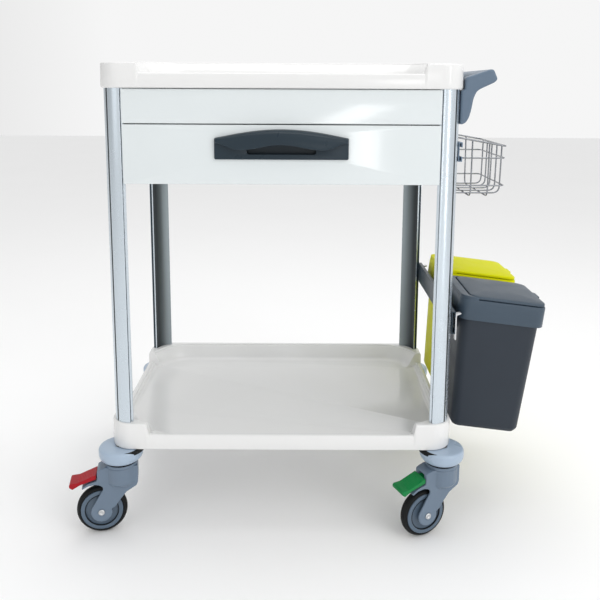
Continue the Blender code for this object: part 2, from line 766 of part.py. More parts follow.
def casters(cart, materials):
    fork = fork_mesh()
    for name, (sx, sy, heading) in CASTERS.items():
        place = (sx * (HALF_X - CASTER_INSET_X), sy * (HALF_Y - CASTER_INSET_Y), 0)
        swivel = empty(f"swivel_{name}", place, cart, math.radians(heading))
        caster_mount(name, swivel, materials)
        add(f"caster_{name}_fork", fork.copy(), swivel, materials["fork"], STAND)
        axle = empty(f"axle_{name}", (TRAIL, 0, WHEEL_RADIUS), swivel)
        axle.rotation_euler.x = -math.pi / 2
        caster_wheel(name, axle, materials)


def caster_mount(name, swivel, materials):
    """The fixed cap under the tray and the stem that the fork turns on."""
    top = LOWER_BOTTOM - GAP
    cap = [
        (0.0400, top),
        (CAP_RADIUS - 0.0015, 0.1780),
        (CAP_RADIUS, 0.1710),
        (CAP_RADIUS - 0.0025, 0.1620),
        (CAP_RADIUS - 0.0070, CAP_LOW),
        (0.0125, CAP_LOW),
        (0.0125, top),
    ]
    turned(f"caster_{name}_cap", cap, 24, swivel, materials["cap"])
    stem = [
        (0, top),
        (0.0120, top),
        (0.0120, FORK_TOP + 0.001),
        (STEM_RADIUS, FORK_TOP + 0.001),
        (STEM_RADIUS, FORK_TOP - STEM_DEPTH),
        (0, FORK_TOP - STEM_DEPTH),
    ]
    turned(f"caster_{name}_stem", stem, 12, swivel, materials["steel"], closed=False)


def caster_wheel(name, axle, materials):
    half = WHEEL_WIDTH / 2
    rim = RIM_RADIUS
    tyre = [
        (rim + GAP, half - 0.002),
        (WHEEL_RADIUS - 0.0060, half - 0.002),
        (WHEEL_RADIUS - 0.0015, half - 0.006),
        (WHEEL_RADIUS, 0.0),
        (WHEEL_RADIUS - 0.0015, -half + 0.006),
        (WHEEL_RADIUS - 0.0060, -half + 0.002),
        (rim + GAP, -half + 0.002),
    ]
    turned(f"caster_{name}_tyre", tyre, 32, axle, materials["tyre"])
    bore = AXLE_RADIUS + 2 * GAP
    hub = [
        (bore, half - 0.001),
        (0.0330, half - 0.001),
        (rim, half),
        (rim, -half),
        (0.0330, -half + 0.001),
        (bore, -half + 0.001),
    ]
    turned(f"caster_{name}_hub", hub, 32, axle, materials["hub"])
    reach = FORK_HALF + GAP
    bolt = [
        (0, reach + 0.0025),
        (0.0065, reach + 0.0025),
        (0.0065, reach),
        (AXLE_RADIUS, reach),
        (AXLE_RADIUS, -reach),
        (0.0065, -reach),
        (0.0065, -reach - 0.0025),
        (0, -reach - 0.0025),
    ]
    turned(f"caster_{name}_axle", bolt, 12, axle, materials["steel"], closed=False)


def brake_pedals(materials):
    """A pressed pedal on each front caster. It turns on a pin across the housing."""
    top = [(0.0165, 0.0005), (0.0200, -0.0010), (0.0530, -0.0140), (0.0680, -0.0150), (0.0705, -0.0185)]
    tip = [(0.0700, -0.0230), (0.0640, -0.0275), (0.0595, -0.0250)]
    under = [(0.0500, -0.0195), (0.0360, -0.0148), (0.0165, -0.0085)]
    neck = [(-0.0060, -0.0060), (0.0180, -0.0085), (0.0180, 0.0000), (0.0040, 0.0060), (-0.0060, 0.0050)]
    for side, colour in (("left", "red"), ("right", "green")):
        swivel = bpy.data.objects[f"swivel_front_{side}"]
        pivot = empty(f"pedal_pivot_front_{side}", PEDAL_PIVOT, swivel)
        pad = outline_mesh("pad", [top + tip + under], 2 * FORK_HALF)
        pedal = add(f"brake_pedal_front_{side}", pad, pivot, materials[colour], STAND)
        lever = add(f"pedal_neck_{side}", outline_mesh("neck", [neck], 0.016), pivot, None, STAND)
        combine(pedal, lever, "UNION")


def shade_round_parts():
    for obj in PARTS.objects:
        if obj.type == "MESH" and obj.data.polygons:
            obj.data.shade_smooth()
            obj.data.set_sharp_from_angle(angle=math.radians(35))


def main():
    clear_scene()
    abs_white = make_material("abs_white", (0.84, 0.84, 0.82), 0.28)
    painted = make_material("painted_sheet", (0.70, 0.75, 0.77), 0.25)
    aluminium = make_material("anodised_aluminium", (0.55, 0.64, 0.73), 0.35, 0.6)
    steel = make_material("steel", (0.60, 0.61, 0.62), 0.30, 1.0)
    chrome = make_material("chrome_wire", (0.75, 0.76, 0.78), 0.15, 1.0)
    slate = make_material("slate_plastic", (0.030, 0.046, 0.065), 0.35)
    blue_grey = make_material("blue_grey_plastic", (0.14, 0.20, 0.27), 0.40)
    dark = make_material("dark_grey_plastic", (0.042, 0.055, 0.072), 0.45)
    yellow = make_material("yellow_plastic", (0.68, 0.68, 0.005), 0.45)
    lid_grey = make_material("lid_grey_plastic", (0.050, 0.066, 0.088), 0.40)
    caster_materials = {
        "cap": make_material("caster_cap", (0.38, 0.46, 0.56), 0.35),
        "fork": make_material("caster_fork", (0.14, 0.18, 0.24), 0.40),
        "hub": make_material("caster_hub", (0.10, 0.14, 0.20), 0.40),
        "tyre": make_material("caster_tyre", (0.008, 0.010, 0.011), 0.60),
        "steel": steel,
        "red": make_material("pedal_red", (0.50, 0.0, 0.012), 0.40),
        "green": make_material("pedal_green", (0.0, 0.25, 0.055), 0.40),
    }
    cart = empty("cart", (CART_X, CART_Y, 0))
    lower_tray_and_top_tray(cart, abs_white)
    corner_columns(cart, aluminium)
    drawer_housing(cart, painted, steel)
    drawer_body = empty("drawer", (0, 0, 0), cart)
    middle_body = empty("slide_middle", (0, 0, 0), cart)
    drawer_slides(cart, drawer_body, middle_body, steel)
    drawer(drawer_body, painted, slate)
    push_handle(cart, blue_grey)
    wire_basket(cart, chrome, blue_grey)
    bin_hanger(cart, slate, steel)
    waste_bins(cart, {"grey": lid_grey, "yellow": yellow}, {"grey": dark, "yellow": yellow})
    casters(cart, caster_materials)
    brake_pedals(caster_materials)
    shade_round_parts()


main()
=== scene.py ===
"""The looks of a ward instrument trolley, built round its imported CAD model.

Metres. The cart frame has its origin on the floor, midway between the columns: its front faces -Y and
its push handle, basket and bins are on +X. Pieces are modelled in the cart frame or in a bin's or a
caster's own frame, and moved into the CAD model's frame by piece().
"""

import json
import math

import bmesh
import bpy
from mathutils import Matrix, Vector

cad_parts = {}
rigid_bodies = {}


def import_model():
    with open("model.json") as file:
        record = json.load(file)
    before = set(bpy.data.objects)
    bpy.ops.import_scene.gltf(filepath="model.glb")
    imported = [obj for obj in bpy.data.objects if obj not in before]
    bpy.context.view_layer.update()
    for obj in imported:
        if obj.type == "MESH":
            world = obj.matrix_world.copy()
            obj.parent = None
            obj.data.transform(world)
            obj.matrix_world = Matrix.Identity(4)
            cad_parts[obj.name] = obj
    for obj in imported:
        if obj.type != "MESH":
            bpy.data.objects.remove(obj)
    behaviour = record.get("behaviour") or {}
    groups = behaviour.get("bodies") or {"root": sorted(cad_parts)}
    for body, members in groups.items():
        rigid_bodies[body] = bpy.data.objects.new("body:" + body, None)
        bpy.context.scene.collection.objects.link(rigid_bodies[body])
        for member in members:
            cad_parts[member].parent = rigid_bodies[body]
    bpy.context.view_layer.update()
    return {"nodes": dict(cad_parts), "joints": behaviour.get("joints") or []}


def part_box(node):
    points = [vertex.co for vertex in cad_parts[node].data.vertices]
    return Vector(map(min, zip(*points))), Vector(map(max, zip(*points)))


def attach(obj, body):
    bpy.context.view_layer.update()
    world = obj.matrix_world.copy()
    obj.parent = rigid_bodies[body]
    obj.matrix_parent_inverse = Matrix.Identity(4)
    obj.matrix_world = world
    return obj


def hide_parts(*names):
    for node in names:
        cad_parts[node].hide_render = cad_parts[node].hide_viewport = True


for leftover in list(bpy.data.objects):
    bpy.data.objects.remove(leftover)
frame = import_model()

JOINTS = {joint["name"]: joint for joint in frame["joints"]}
tray_low, tray_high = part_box("lower_tray")
CART = Vector(((tray_low.x + tray_high.x) / 2, (tray_low.y + tray_high.y) / 2, 0))
TO_CART = Matrix.Translation(CART)


def cart_box(node):
    """A CAD node's lowest and highest corners in the cart frame."""
    low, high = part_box(node)
    return low - CART, high - CART


# Trays.
TRAY_X = cart_box("lower_tray")[1].x
TRAY_Y = cart_box("lower_tray")[1].y
TRAY_RADIUS = 0.045
TRAY_FLOOR = 0.020
TRAY_CEILING = 0.016
TRAY_DRAFT = 0.0006
BLOCK_LENGTH = 0.081
BLOCK_SLOPE = 0.0050
POCKET_INSET = 0.011
POCKET_RADIUS = 0.090
POCKET_LEAN = 0.60
POCKET_LEDGE = 0.0028
POCKET_STEP = 0.0034
EDGE_OUT = 0.0034
EDGE_IN = 0.0026
FLOOR_FILLET = 0.011
UNDERSIDE_WALL = 0.012
UNDERSIDE_POST = 0.085

# Columns, drawer unit and side fittings.
HALF_X = cart_box("column_rear_right")[1].x
HALF_Y = cart_box("column_rear_right")[1].y
COLUMN = 0.0415
COLUMN_CORE = 0.037
COLUMN_RADIUS = 0.0345
LIP_SETBACK = 0.006
LIP = 0.003
CUT_DEPTH = 0.007
CUT_STEPS = 12
SHEET = 0.0012
FACE = cart_box("drawer_front")[0].y
GRIP_WALL = 0.0042
GRIP_PLATE = 0.0050
WIRE = 0.0016
BASKET_FALL = 0.175
BASKET_RINGS = (0.7725, 0.7150)
BASKET_LONG_WIRES = (0.3930, 0.4285)
BASKET_CROSS_WIRES = (0.0800, 0.0420, 0.0010, -0.0400, -0.0780)

# Bins, in a frame that leans out with the bin.
BIN_TILT = math.radians(7.0)
BIN_LENGTH = 0.172
BIN_TOP_WIDTH = 0.1665
BIN_BOTTOM_IN = 0.0190
BIN_BOTTOM_OUT = 0.1645
BIN_HEIGHT = 0.242
BIN_WALL = 0.0025
SKIRT_OUT = 0.1750
SKIRT_IN = -0.0060
SKIRT_LOW = -0.0030
SKIRT_HIGH = 0.0400
SKIRT_WALL = 0.0018
DECK = 0.0150
FLAP_Z = 0.0450

# Casters.
WHEEL_RADIUS = 0.051
WHEEL_WIDTH = 0.024
RIM_RADIUS = 0.0425
FORK_HALF = 0.020
FORK_TOP = 0.148
HOOD_WALL = 0.0095
CAP_BORE = 0.0062
# How far the dark gasket is set towards the cart's middle, where it paints the tray's shadow on each caster
# cap.
GASKET_SHADOW_SHIFT = 0.0092
COLLAR_BORE = 0.0125
COLLAR_RADIUS = 0.0325
STEM_BORE = 0.0064
AXLE_BORE = 0.0044
PEDAL_RIDGES = 9
CASTERS = ("front_left", "front_right", "rear_left", "rear_right")

# Stands an outline drawn in XY up in XZ.
STAND = Matrix.Rotation(math.pi / 2, 4, "X")


# ---- meshes


def arc(x, y, radius, start, stop, steps):
    angles = [math.radians(start + (stop - start) * i / steps) for i in range(steps + 1)]
    return [(x + radius * math.cos(a), y + radius * math.sin(a)) for a in angles]


def rounded_rectangle(left, right, front, back, radius, steps=8):
    east, west, north, south = right - radius, left + radius, back - radius, front + radius
    points = []
    for turn, (x, y) in enumerate(((east, north), (west, north), (west, south), (east, south))):
        points += arc(x, y, radius, turn * 90, turn * 90 + 90, steps)
    return points


def level(points, height):
    return [(x, y, height) for x, y in points]


def mesh_from(work, name):
    bmesh.ops.recalc_face_normals(work, faces=work.faces)
    mesh = bpy.data.meshes.new(name)
    work.to_mesh(mesh)
    work.free()
    return mesh


def loft(name, loops, caps=True, ring=False):
    """Walls between loops with equal numbers of points. A ring also joins the last loop to the first."""
    work = bmesh.new()
    rings = [[work.verts.new(point) for point in loop] for loop in loops]
    count = len(loops[0])
    pairs = list(zip(rings, rings[1:])) + ([(rings[-1], rings[0])] if ring else [])
    for low, high in pairs:
        for i in range(count):
            j = (i + 1) % count
            work.faces.new((low[i], low[j], high[j], high[i]))
    if caps and not ring:
        work.faces.new(rings[0])
        work.faces.new(rings[-1])
    return mesh_from(work, name)


def lathe(name, profile, steps=64, ring=False):
    """A turned piece from radius and height points. Its ends are flat caps, or it closes on itself."""
    loops = []
    for radius, height in profile:
        turn = [2 * math.pi * i / steps for i in range(steps)]
        loops.append([(radius * math.cos(a), radius * math.sin(a), height) for a in turn])
    return loft(name, loops, ring=ring)


def rounded_corner(before, here, after, radius, steps, share):
    """A curve in place of a corner. It takes up at most this share of each edge beside it."""
    here = Vector(here)
    back = Vector(before) - here
    ahead = Vector(after) - here
    reach = min(radius, back.length * share, ahead.length * share)
    start = here + back.normalized() * reach
    stop = here + ahead.normalized() * reach
    times = [k / steps for k in range(steps + 1)]
    return [tuple(start * (1 - t) ** 2 + here * 2 * t * (1 - t) + stop * t * t) for t in times]


def soft_profile(points, radius, steps=3, closed=False):
    """A radius and height profile, or any outline, with its corners rounded off."""
    count = len(points)
    rounded = []
    for i, point in enumerate(points):
        if not closed and i in (0, count - 1):
            rounded.append(tuple(Vector(point)))
            continue
        after = points[(i + 1) % count]
        rounded += rounded_corner(points[i - 1], point, after, radius, steps, 0.45)
    return rounded


def bend(points, radius, steps=6):
    """Points along a wire with its corners bent to a radius."""
    bent = [points[0]]
    for before, here, after in zip(points, points[1:], points[2:]):
        bent += rounded_corner(before, here, after, radius, steps, 0.48)
    return bent + [points[-1]]


def soft_ring(name, profile, radius, steps, turns=64):
    """A turned ring, with the corners of its section rounded off."""
    return lathe(name, soft_profile(profile, radius, steps, closed=True), turns, ring=True)


def both_sides(profile):
    """A turned profile followed by its mirror image below z = 0."""
    return profile + [(radius, -height) for radius, height in reversed(profile)]


def soft_box(name, low, high, edge, segments=3):
    work = bmesh.new()
    bmesh.ops.create_cube(work, size=1)
    size = Vector(high) - Vector(low)
    bmesh.ops.scale(work, vec=size, verts=work.verts)
    bmesh.ops.translate(work, vec=(Vector(high) + Vector(low)) / 2, verts=work.verts)
    bmesh.ops.bevel(work, geom=work.edges, offset=edge, segments=segments, profile=0.5, affect="EDGES")
    return mesh_from(work, name)


def evaluated(obj):
    """The mesh of an object with its modifiers applied. The object goes."""
    bpy.context.view_layer.update()
    graph = bpy.context.evaluated_depsgraph_get()
    mesh = bpy.data.meshes.new_from_object(obj.evaluated_get(graph))
    bpy.data.objects.remove(obj)
    return mesh


def welded(mesh, distance=1e-5):
    work = bmesh.new()
    work.from_mesh(mesh)
    bmesh.ops.remove_doubles(work, verts=work.verts, dist=distance)
    return mesh_from(work, mesh.name)


def linked(name, data):
    obj = bpy.data.objects.new(name, data)
    bpy.context.scene.collection.objects.link(obj)
    return obj


def modify(obj, kind, **settings):
    modifier = obj.modifiers.new(kind.lower(), kind)
    for name, value in settings.items():
        setattr(modifier, name, value)


def add_line(curve, points, cyclic):
    line = curve.splines.new("POLY")
    line.points.add(len(points) - 1)
    line.use_cyclic_u = cyclic
    for place, point in zip(line.points, points):
        place.co = (*point, 1)


def plate(name, loops, depth, edge):
    """A flat outline in XY with rounded edges, centred on z = 0. A second loop is a hole."""
    curve = bpy.data.curves.new(name, "CURVE")
    curve.dimensions = "2D"
    curve.fill_mode = "BOTH"
    curve.extrude = depth / 2 - edge
    curve.bevel_depth = edge
    curve.bevel_resolution = 2
    curve.offset = -edge
    for points in loops:
        add_line(curve, level(points, 0), True)
    return welded(evaluated(linked(name, curve)))


def upright(name, loops, width, edge, middle=0.0):
    """A plate whose outline stands in XZ, with its middle at this Y."""
    return moved(plate(name, loops, width, edge), Matrix.Translation((0, middle, 0)) @ STAND)


def tube(points, radius, cyclic=False):
    """A wire along points, as a mesh with round section and closed ends."""
    curve = bpy.data.curves.new("wire", "CURVE")
    curve.dimensions = "3D"
    curve.bevel_depth = radius
    curve.bevel_resolution = 4
    curve.use_fill_caps = True
    add_line(curve, points, cyclic)
    return welded(evaluated(linked("wire", curve)))


def joined(name, meshes):
    work = bmesh.new()
    for mesh in meshes:
        work.from_mesh(mesh)
        bpy.data.meshes.remove(mesh)
    mesh = bpy.data.meshes.new(name)
    work.to_mesh(mesh)
    work.free()
    return mesh


def moved(mesh, matrix):
    mesh.transform(matrix)
    return mesh


def moulded(mesh, voxel, rounds, keep):
    """Runs a mesh's shapes together and softens its edges, as a moulding's are."""
    obj = linked("moulding", mesh)
    modify(obj, "REMESH", mode="VOXEL", voxel_size=voxel)
    modify(obj, "SMOOTH", factor=0.5, iterations=rounds)
    modify(obj, "DECIMATE", ratio=keep)
    return evaluated(obj)


def cad_mesh(node):
    """A copy of a CAD node's mesh, with its split edges joined again."""
    return welded(frame["nodes"][node].data.copy())


def piece(name, mesh, body, finish, nodes=(), matrix=TO_CART, sharp=35.0):
    """A finished piece on a body. It takes its finish's slot and stands for the CAD nodes named.

    Clearing a mesh's materials resets its faces' slots, so it is done only where there are any.
    """
    mesh.name = name
    mesh.transform(matrix)
    obj = linked(name, mesh)
    finishes = finish if isinstance(finish, tuple) else (finish,)
    if mesh.materials:
        mesh.materials.clear()
    for slot in finishes:
        mesh.materials.append(FINISHES[slot])
    mesh.shade_smooth()
    mesh.set_sharp_from_angle(angle=math.radians(sharp))
    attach(obj, body)
    if nodes:
        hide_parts(*nodes)
    return obj


def dress(node, finish, edge=0.0004):
    """Gives a CAD node that stays in view its finish and softly broken edges."""
    obj = frame["nodes"][node]
    obj.data.materials.clear()
    obj.data.materials.append(FINISHES[finish])
    modify(obj, "WELD", merge_threshold=0.00001)
    sharp = dict(limit_method="ANGLE", angle_limit=math.radians(40), harden_normals=True)
    modify(obj, "BEVEL", width=edge, segments=2, **sharp)
    return obj


# ---- materials


def shader_node(tree, kind, **inputs):
    made = tree.nodes.new(kind)
    for name, value in inputs.items():
        made.inputs[name.replace("_", " ")].default_value = value
    return made


def noise(tree, coordinate, scale, detail=3.0, stretch=None):
    texture = shader_node(tree, "ShaderNodeTexNoise", Scale=scale, Detail=detail)
    if stretch is None:
        tree.links.new(coordinate, texture.inputs["Vector"])
        return texture.outputs["Fac"]
    mapping = shader_node(tree, "ShaderNodeMapping", Scale=stretch)
    tree.links.new(coordinate, mapping.inputs["Vector"])
    tree.links.new(mapping.outputs["Vector"], texture.inputs["Vector"])
    return texture.outputs["Fac"]


def ranged(tree, value, low, high, start=0.3, stop=0.7):
    limits = {"From_Min": start, "From_Max": stop, "To_Min": low, "To_Max": high}
    spread = shader_node(tree, "ShaderNodeMapRange", **limits)
    tree.links.new(value, spread.inputs["Value"])
    return spread.outputs["Result"]


def mixed(tree, factor, first, second):
    mix = tree.nodes.new("ShaderNodeMix")
    mix.data_type = "RGBA"
    tree.links.new(factor, mix.inputs["Factor"])
    for socket, value in ((mix.inputs["A"], first), (mix.inputs["B"], second)):
        if isinstance(value, bpy.types.NodeSocket):
            tree.links.new(value, socket)
        else:
            socket.default_value = (*value, 1)
    return mix.outputs["Result"]


def tinted(colour, factor):
    return tuple(min(1.0, channel * factor) for channel in colour)


def finish_material(name, colour, rough, metallic=0.0, drift=0.04, clouds=9.0, grain=900.0, depth=0.04,
                    stretch=None, wear=0.0, coat=0.0, smudge=0.04, specular=0.5):
    """A procedural finish.

    The colour drifts softly over the surface and lightens on worn edges, the roughness varies with
    handling, and a fine grain gives the relief. A stretched grain runs along an extrusion.
    """
    material = bpy.data.materials.new(name)
    material.use_nodes = True
    tree = material.node_tree
    shader = tree.nodes["Principled BSDF"]
    levels = {"Metallic": metallic, "Coat Weight": coat, "Coat Roughness": 0.08}
    levels["Specular IOR Level"] = specular
    for socket, amount in levels.items():
        shader.inputs[socket].default_value = amount
    where = tree.nodes.new("ShaderNodeTexCoord").outputs["Object"]
    drifting = noise(tree, where, clouds, 4.0, stretch)
    base = mixed(tree, drifting, tinted(colour, 1 - drift), tinted(colour, 1 + drift))
    if wear:
        pointiness = tree.nodes.new("ShaderNodeNewGeometry").outputs["Pointiness"]
        edge = ranged(tree, pointiness, 0, wear, 0.52, 0.60)
        base = mixed(tree, edge, base, tinted(colour, 1.9))
    tree.links.new(base, shader.inputs["Base Color"])
    handled = noise(tree, where, 22.0, 5.0)
    rough_socket = ranged(tree, handled, max(0.02, rough - smudge), rough + smudge)
    tree.links.new(rough_socket, shader.inputs["Roughness"])
    fine = noise(tree, where, grain, 2.0, stretch)
    bump = shader_node(tree, "ShaderNodeBump", Strength=depth, Distance=0.0006)
    tree.links.new(fine, bump.inputs["Height"])
    tree.links.new(bump.outputs["Normal"], shader.inputs["Normal"])
    return material


def maths(tree, operation, first, second=0.0):
    step = tree.nodes.new("ShaderNodeMath")
    step.operation = operation
    step.inputs[1].default_value = second
    tree.links.new(first, step.inputs[0])
    return step.outputs["Value"]


def axes(tree, space):
    """The X, Y and Z of the texture coordinate in a space."""
    split = tree.nodes.new("ShaderNodeSeparateXYZ")
    tree.links.new(tree.nodes.new("ShaderNodeTexCoord").outputs[space], split.inputs["Vector"])
    return split.outputs


def trough_painted_shade_material():
    """The finish inside a column's cut corner: aluminium painted darker as shade, and darker still towards
    the outer end.
    """
    # The base colour, darker than the columns' own aluminium, is painted shade.
    material = finish_material(
        "column_trough_painted_shade", (0.30, 0.345, 0.365), 0.36, metallic=0.5, drift=0.02, smudge=0.01)
    tree = material.node_tree
    shader = tree.nodes["Principled BSDF"]
    base = shader.inputs["Base Color"].links[0].from_socket
    # Painted shade: a mask that rises from the trough's inner end to its outer end.
    outward = maths(tree, "ABSOLUTE", maths(tree, "SUBTRACT", axes(tree, "Object")["X"], CART.x))
    deep = ranged(tree, outward, 0, 1, HALF_X - COLUMN + 0.004, HALF_X - 0.014)
    # The near-black colour is the painted shade, mixed in towards the outer end.
    tree.links.new(mixed(tree, deep, base, (0.020, 0.027, 0.031)), shader.inputs["Base Color"])
    return material


# Each finish's settings, with its colour in linear light.
PEDAL_LOOK = dict(rough=0.38, drift=0.08, grain=1100.0, depth=0.25, wear=0.35, specular=0.27)
LOOKS = {
    "abs_white": dict(
        colour=(0.77, 0.77, 0.765), rough=0.13, drift=0.012, grain=160.0, depth=0.02, smudge=0.03),
    "painted_sheet": dict(
        colour=(0.70, 0.745, 0.755), rough=0.13, drift=0.012, grain=1400.0, depth=0.03, smudge=0.03,
        coat=0.6),
    "anodised_aluminium": dict(
        colour=(0.60, 0.665, 0.72), rough=0.27, metallic=0.85, drift=0.012, clouds=60.0, grain=1600.0,
        depth=0.05, stretch=(1.0, 1.0, 0.02), smudge=0.008),
    "steel": dict(colour=(0.62, 0.63, 0.64), rough=0.30, metallic=1.0, drift=0.06, grain=700.0, depth=0.05),
    "chrome_wire": dict(colour=(0.27, 0.28, 0.30), rough=0.16, metallic=1.0, drift=0.10, clouds=40.0),
    "slate_plastic": dict(
        colour=(0.015, 0.028, 0.040), rough=0.30, drift=0.10, depth=0.16, wear=0.35, specular=0.28),
    "blue_grey_plastic": dict(
        colour=(0.108, 0.155, 0.215), rough=0.34, drift=0.07, depth=0.16, wear=0.30, specular=0.4),
    "dark_grey_plastic": dict(
        colour=(0.023, 0.031, 0.043), rough=0.46, drift=0.10, grain=1300.0, depth=0.30, wear=0.25,
        specular=0.3),
    "lid_grey_plastic": dict(
        colour=(0.045, 0.068, 0.095), rough=0.40, drift=0.08, grain=1300.0, depth=0.26, wear=0.30,
        specular=0.36),
    "yellow_plastic": dict(
        colour=(0.64, 0.64, 0.0008), rough=0.46, drift=0.05, grain=1300.0, depth=0.22, specular=0.06),
    "caster_cap": dict(colour=(0.36, 0.45, 0.56), rough=0.30, drift=0.05, depth=0.08, wear=0.25),
    "caster_fork": dict(colour=(0.135, 0.185, 0.25), rough=0.36, drift=0.08, depth=0.14, wear=0.40),
    "caster_hub": dict(colour=(0.085, 0.125, 0.175), rough=0.36, drift=0.08, depth=0.10, wear=0.30),
    "caster_tyre": dict(
        colour=(0.0045, 0.0055, 0.006), rough=0.60, drift=0.25, grain=600.0, depth=0.30, specular=0.22),
    "pedal_red": dict(colour=(0.33, 0.001, 0.008), **PEDAL_LOOK),
    "pedal_green": dict(colour=(0.001, 0.19, 0.045), **PEDAL_LOOK),
}
FINISHES = {name: finish_material(name, **look) for name, look in LOOKS.items()}
FINISHES["column_trough_painted_shade"] = trough_painted_shade_material()


# ---- trays


def past_pocket(x, y):
    """How far a point lies outside the pocket's outline, a rounded rectangle."""
    dx = abs(x) - (TRAY_X - POCKET_INSET - POCKET_RADIUS)
    dy = abs(y) - (TRAY_Y - POCKET_INSET - POCKET_RADIUS)
    return math.hypot(max(dx, 0), max(dy, 0)) + min(max(dx, dy), 0) - POCKET_RADIUS


def past_hollow(x, y):
    """The same for the open underside, which leaves a post at each corner."""
    half_x = TRAY_X - UNDERSIDE_WALL
    half_y = TRAY_Y - UNDERSIDE_WALL
    slant = (abs(x) + abs(y) - (half_x + half_y - UNDERSIDE_POST)) / math.sqrt(2)
    return max(abs(x) - half_x, abs(y) - half_y, slant)


def reach_in(point, inward, past):
    """The place along a point's inward normal where it meets an outline."""
    near, far = 0.0, 0.09
    for _ in range(30):
        middle = (near + far) / 2
        place = point + inward * middle
        if past(place.x, place.y) > 0:
            near = middle
        else:
            far = middle
    return point + inward * far


def outward_at(place, past):
    step = 1e-5
    slope_x = past(place.x + step, place.y) - past(place.x - step, place.y)
    slope_y = past(place.x, place.y + step) - past(place.x, place.y - step)
    return Vector((slope_x, slope_y)).normalized()


def side_places(corner, block):
    """Where a side has points: few in the middle, and close together over a block's sloping end."""
    places = [block + BLOCK_SLOPE * k / 8 for k in range(-1, 10)]
    places += [block * part for part in (0.3, 0.6, 0.8, 0.9, 0.95)]
    top = places[10]
    places += [top + (corner - top) * k / 4 for k in range(1, 4)]
    places.sort()
    return [-place for place in reversed(places)] + [0.0] + places


def tray_edge():
    """Points round the tray's edge, each with its inward normal."""
    corner_x = TRAY_X - TRAY_RADIUS
    corner_y = TRAY_Y - TRAY_RADIUS
    along_x = side_places(corner_x, TRAY_X - BLOCK_LENGTH)
    along_y = side_places(corner_y, TRAY_Y - BLOCK_LENGTH)
    edge = []
    for turn, (sx, sy) in enumerate(((1, 1), (-1, 1), (-1, -1), (1, -1))):
        for x, y in arc(0, 0, 1, turn * 90, turn * 90 + 90, 14):
            centre = Vector((sx * corner_x, sy * corner_y))
            edge.append((centre + TRAY_RADIUS * Vector((x, y)), -Vector((x, y))))
        if turn in (0, 2):
            edge += [(Vector((-sx * x, sy * TRAY_Y)), Vector((0, -sy))) for x in along_x]
        else:
            edge += [(Vector((sx * TRAY_X, -sy * y)), Vector((-sx, 0))) for y in along_y]
    return edge


def ease(value):
    value = min(1.0, max(0.0, value))
    return 0.4 * value + 0.6 * value * value * (3 - 2 * value)


def rim_heights(rim, side, block, rear):
    """The rim's height anywhere on the edge: low in front, and higher at the blocks and the back."""
    gap_x = TRAY_X - BLOCK_LENGTH
    gap_y = TRAY_Y - BLOCK_LENGTH

    def height(point):
        rise = min(1.0, max(0.0, (point.y + gap_y) / (2 * gap_y)))
        corner = block + (rear - block) * rise
        if abs(point.x) > TRAY_X - 1e-4 and side < block:
            return side + (block - side) * ease((abs(point.y) - gap_y) / BLOCK_SLOPE)
        if point.y < 1e-4 - TRAY_Y:
            return rim + (block - rim) * ease((abs(point.x) - gap_x) / BLOCK_SLOPE)
        return corner

    return height


def tray_mesh(name, bottom, height):
    """The tray's skin, from its hollow underside over the rim and the ledge to the pocket's floor."""
    floor = bottom + TRAY_FLOOR
    turn = [math.radians(a) for a in (0, 22.5, 45, 67.5, 90)]
    rows = []
    for point, inward in tray_edge():
        top = height(point)
        pocket = reach_in(point, inward, past_pocket)
        out = outward_at(pocket, past_pocket)
        hollow = reach_in(point, inward, past_hollow)
        back_in = outward_at(hollow, past_hollow)
        step = top - POCKET_STEP
        foot = POCKET_LEDGE + POCKET_LEAN * (step - floor)
        fillet = min(FLOOR_FILLET, 0.6 * (step - floor))
        ceiling = bottom + TRAY_CEILING
        row = [(hollow - back_in * 0.001, ceiling), (hollow, ceiling - 0.001)]
        row += [(hollow, bottom + 0.001), (hollow + back_in * 0.001, bottom)]
        row += [(point + inward * 0.0030, bottom), (point + inward * 0.0009, bottom + 0.0009)]
        row += [(point, bottom + 0.0030)]
        for a in turn:
            sink = EDGE_OUT * (1 - math.cos(a))
            row.append((point + inward * (TRAY_DRAFT + sink), top - EDGE_OUT * (1 - math.sin(a))))
        for a in turn:
            sink = EDGE_IN * (1 - math.sin(a))
            row.append((pocket + out * sink, top - EDGE_IN * (1 - math.cos(a))))
        row += [(pocket - out * 0.0002, step + 0.0002), (pocket - out * 0.0008, step)]
        row += [(pocket - out * (POCKET_LEDGE - 0.0010), step), (pocket - out * POCKET_LEDGE, step - 0.0004)]
        for a in turn:
            sink = fillet * (1 - math.cos(a))
            drop = fillet * math.sin(a)
            slack = POCKET_LEAN * fillet * math.cos(a)
            row.append((pocket - out * (foot - slack + sink), floor + fillet - drop))
        rows.append([(place.x, place.y, z) for place, z in row])
    return loft(name, [list(loop) for loop in zip(*rows)])


def trays():
    for node_name, rim_part, side_part in (("lower_tray", 0.582, 0.582), ("top_tray", 0.463, 0.772)):
        low, high = cart_box(node_name)
        rise = high.z - low.z
        rim = low.z + rise * rim_part
        side = low.z + rise * side_part
        block = high.z if node_name == "lower_tray" else side
        height = rim_heights(rim, side, block, high.z)
        mesh = tray_mesh(node_name, low.z, height)
        piece(f"moulded_{node_name}", mesh, "frame", "abs_white", [node_name], sharp=50)


# ---- columns


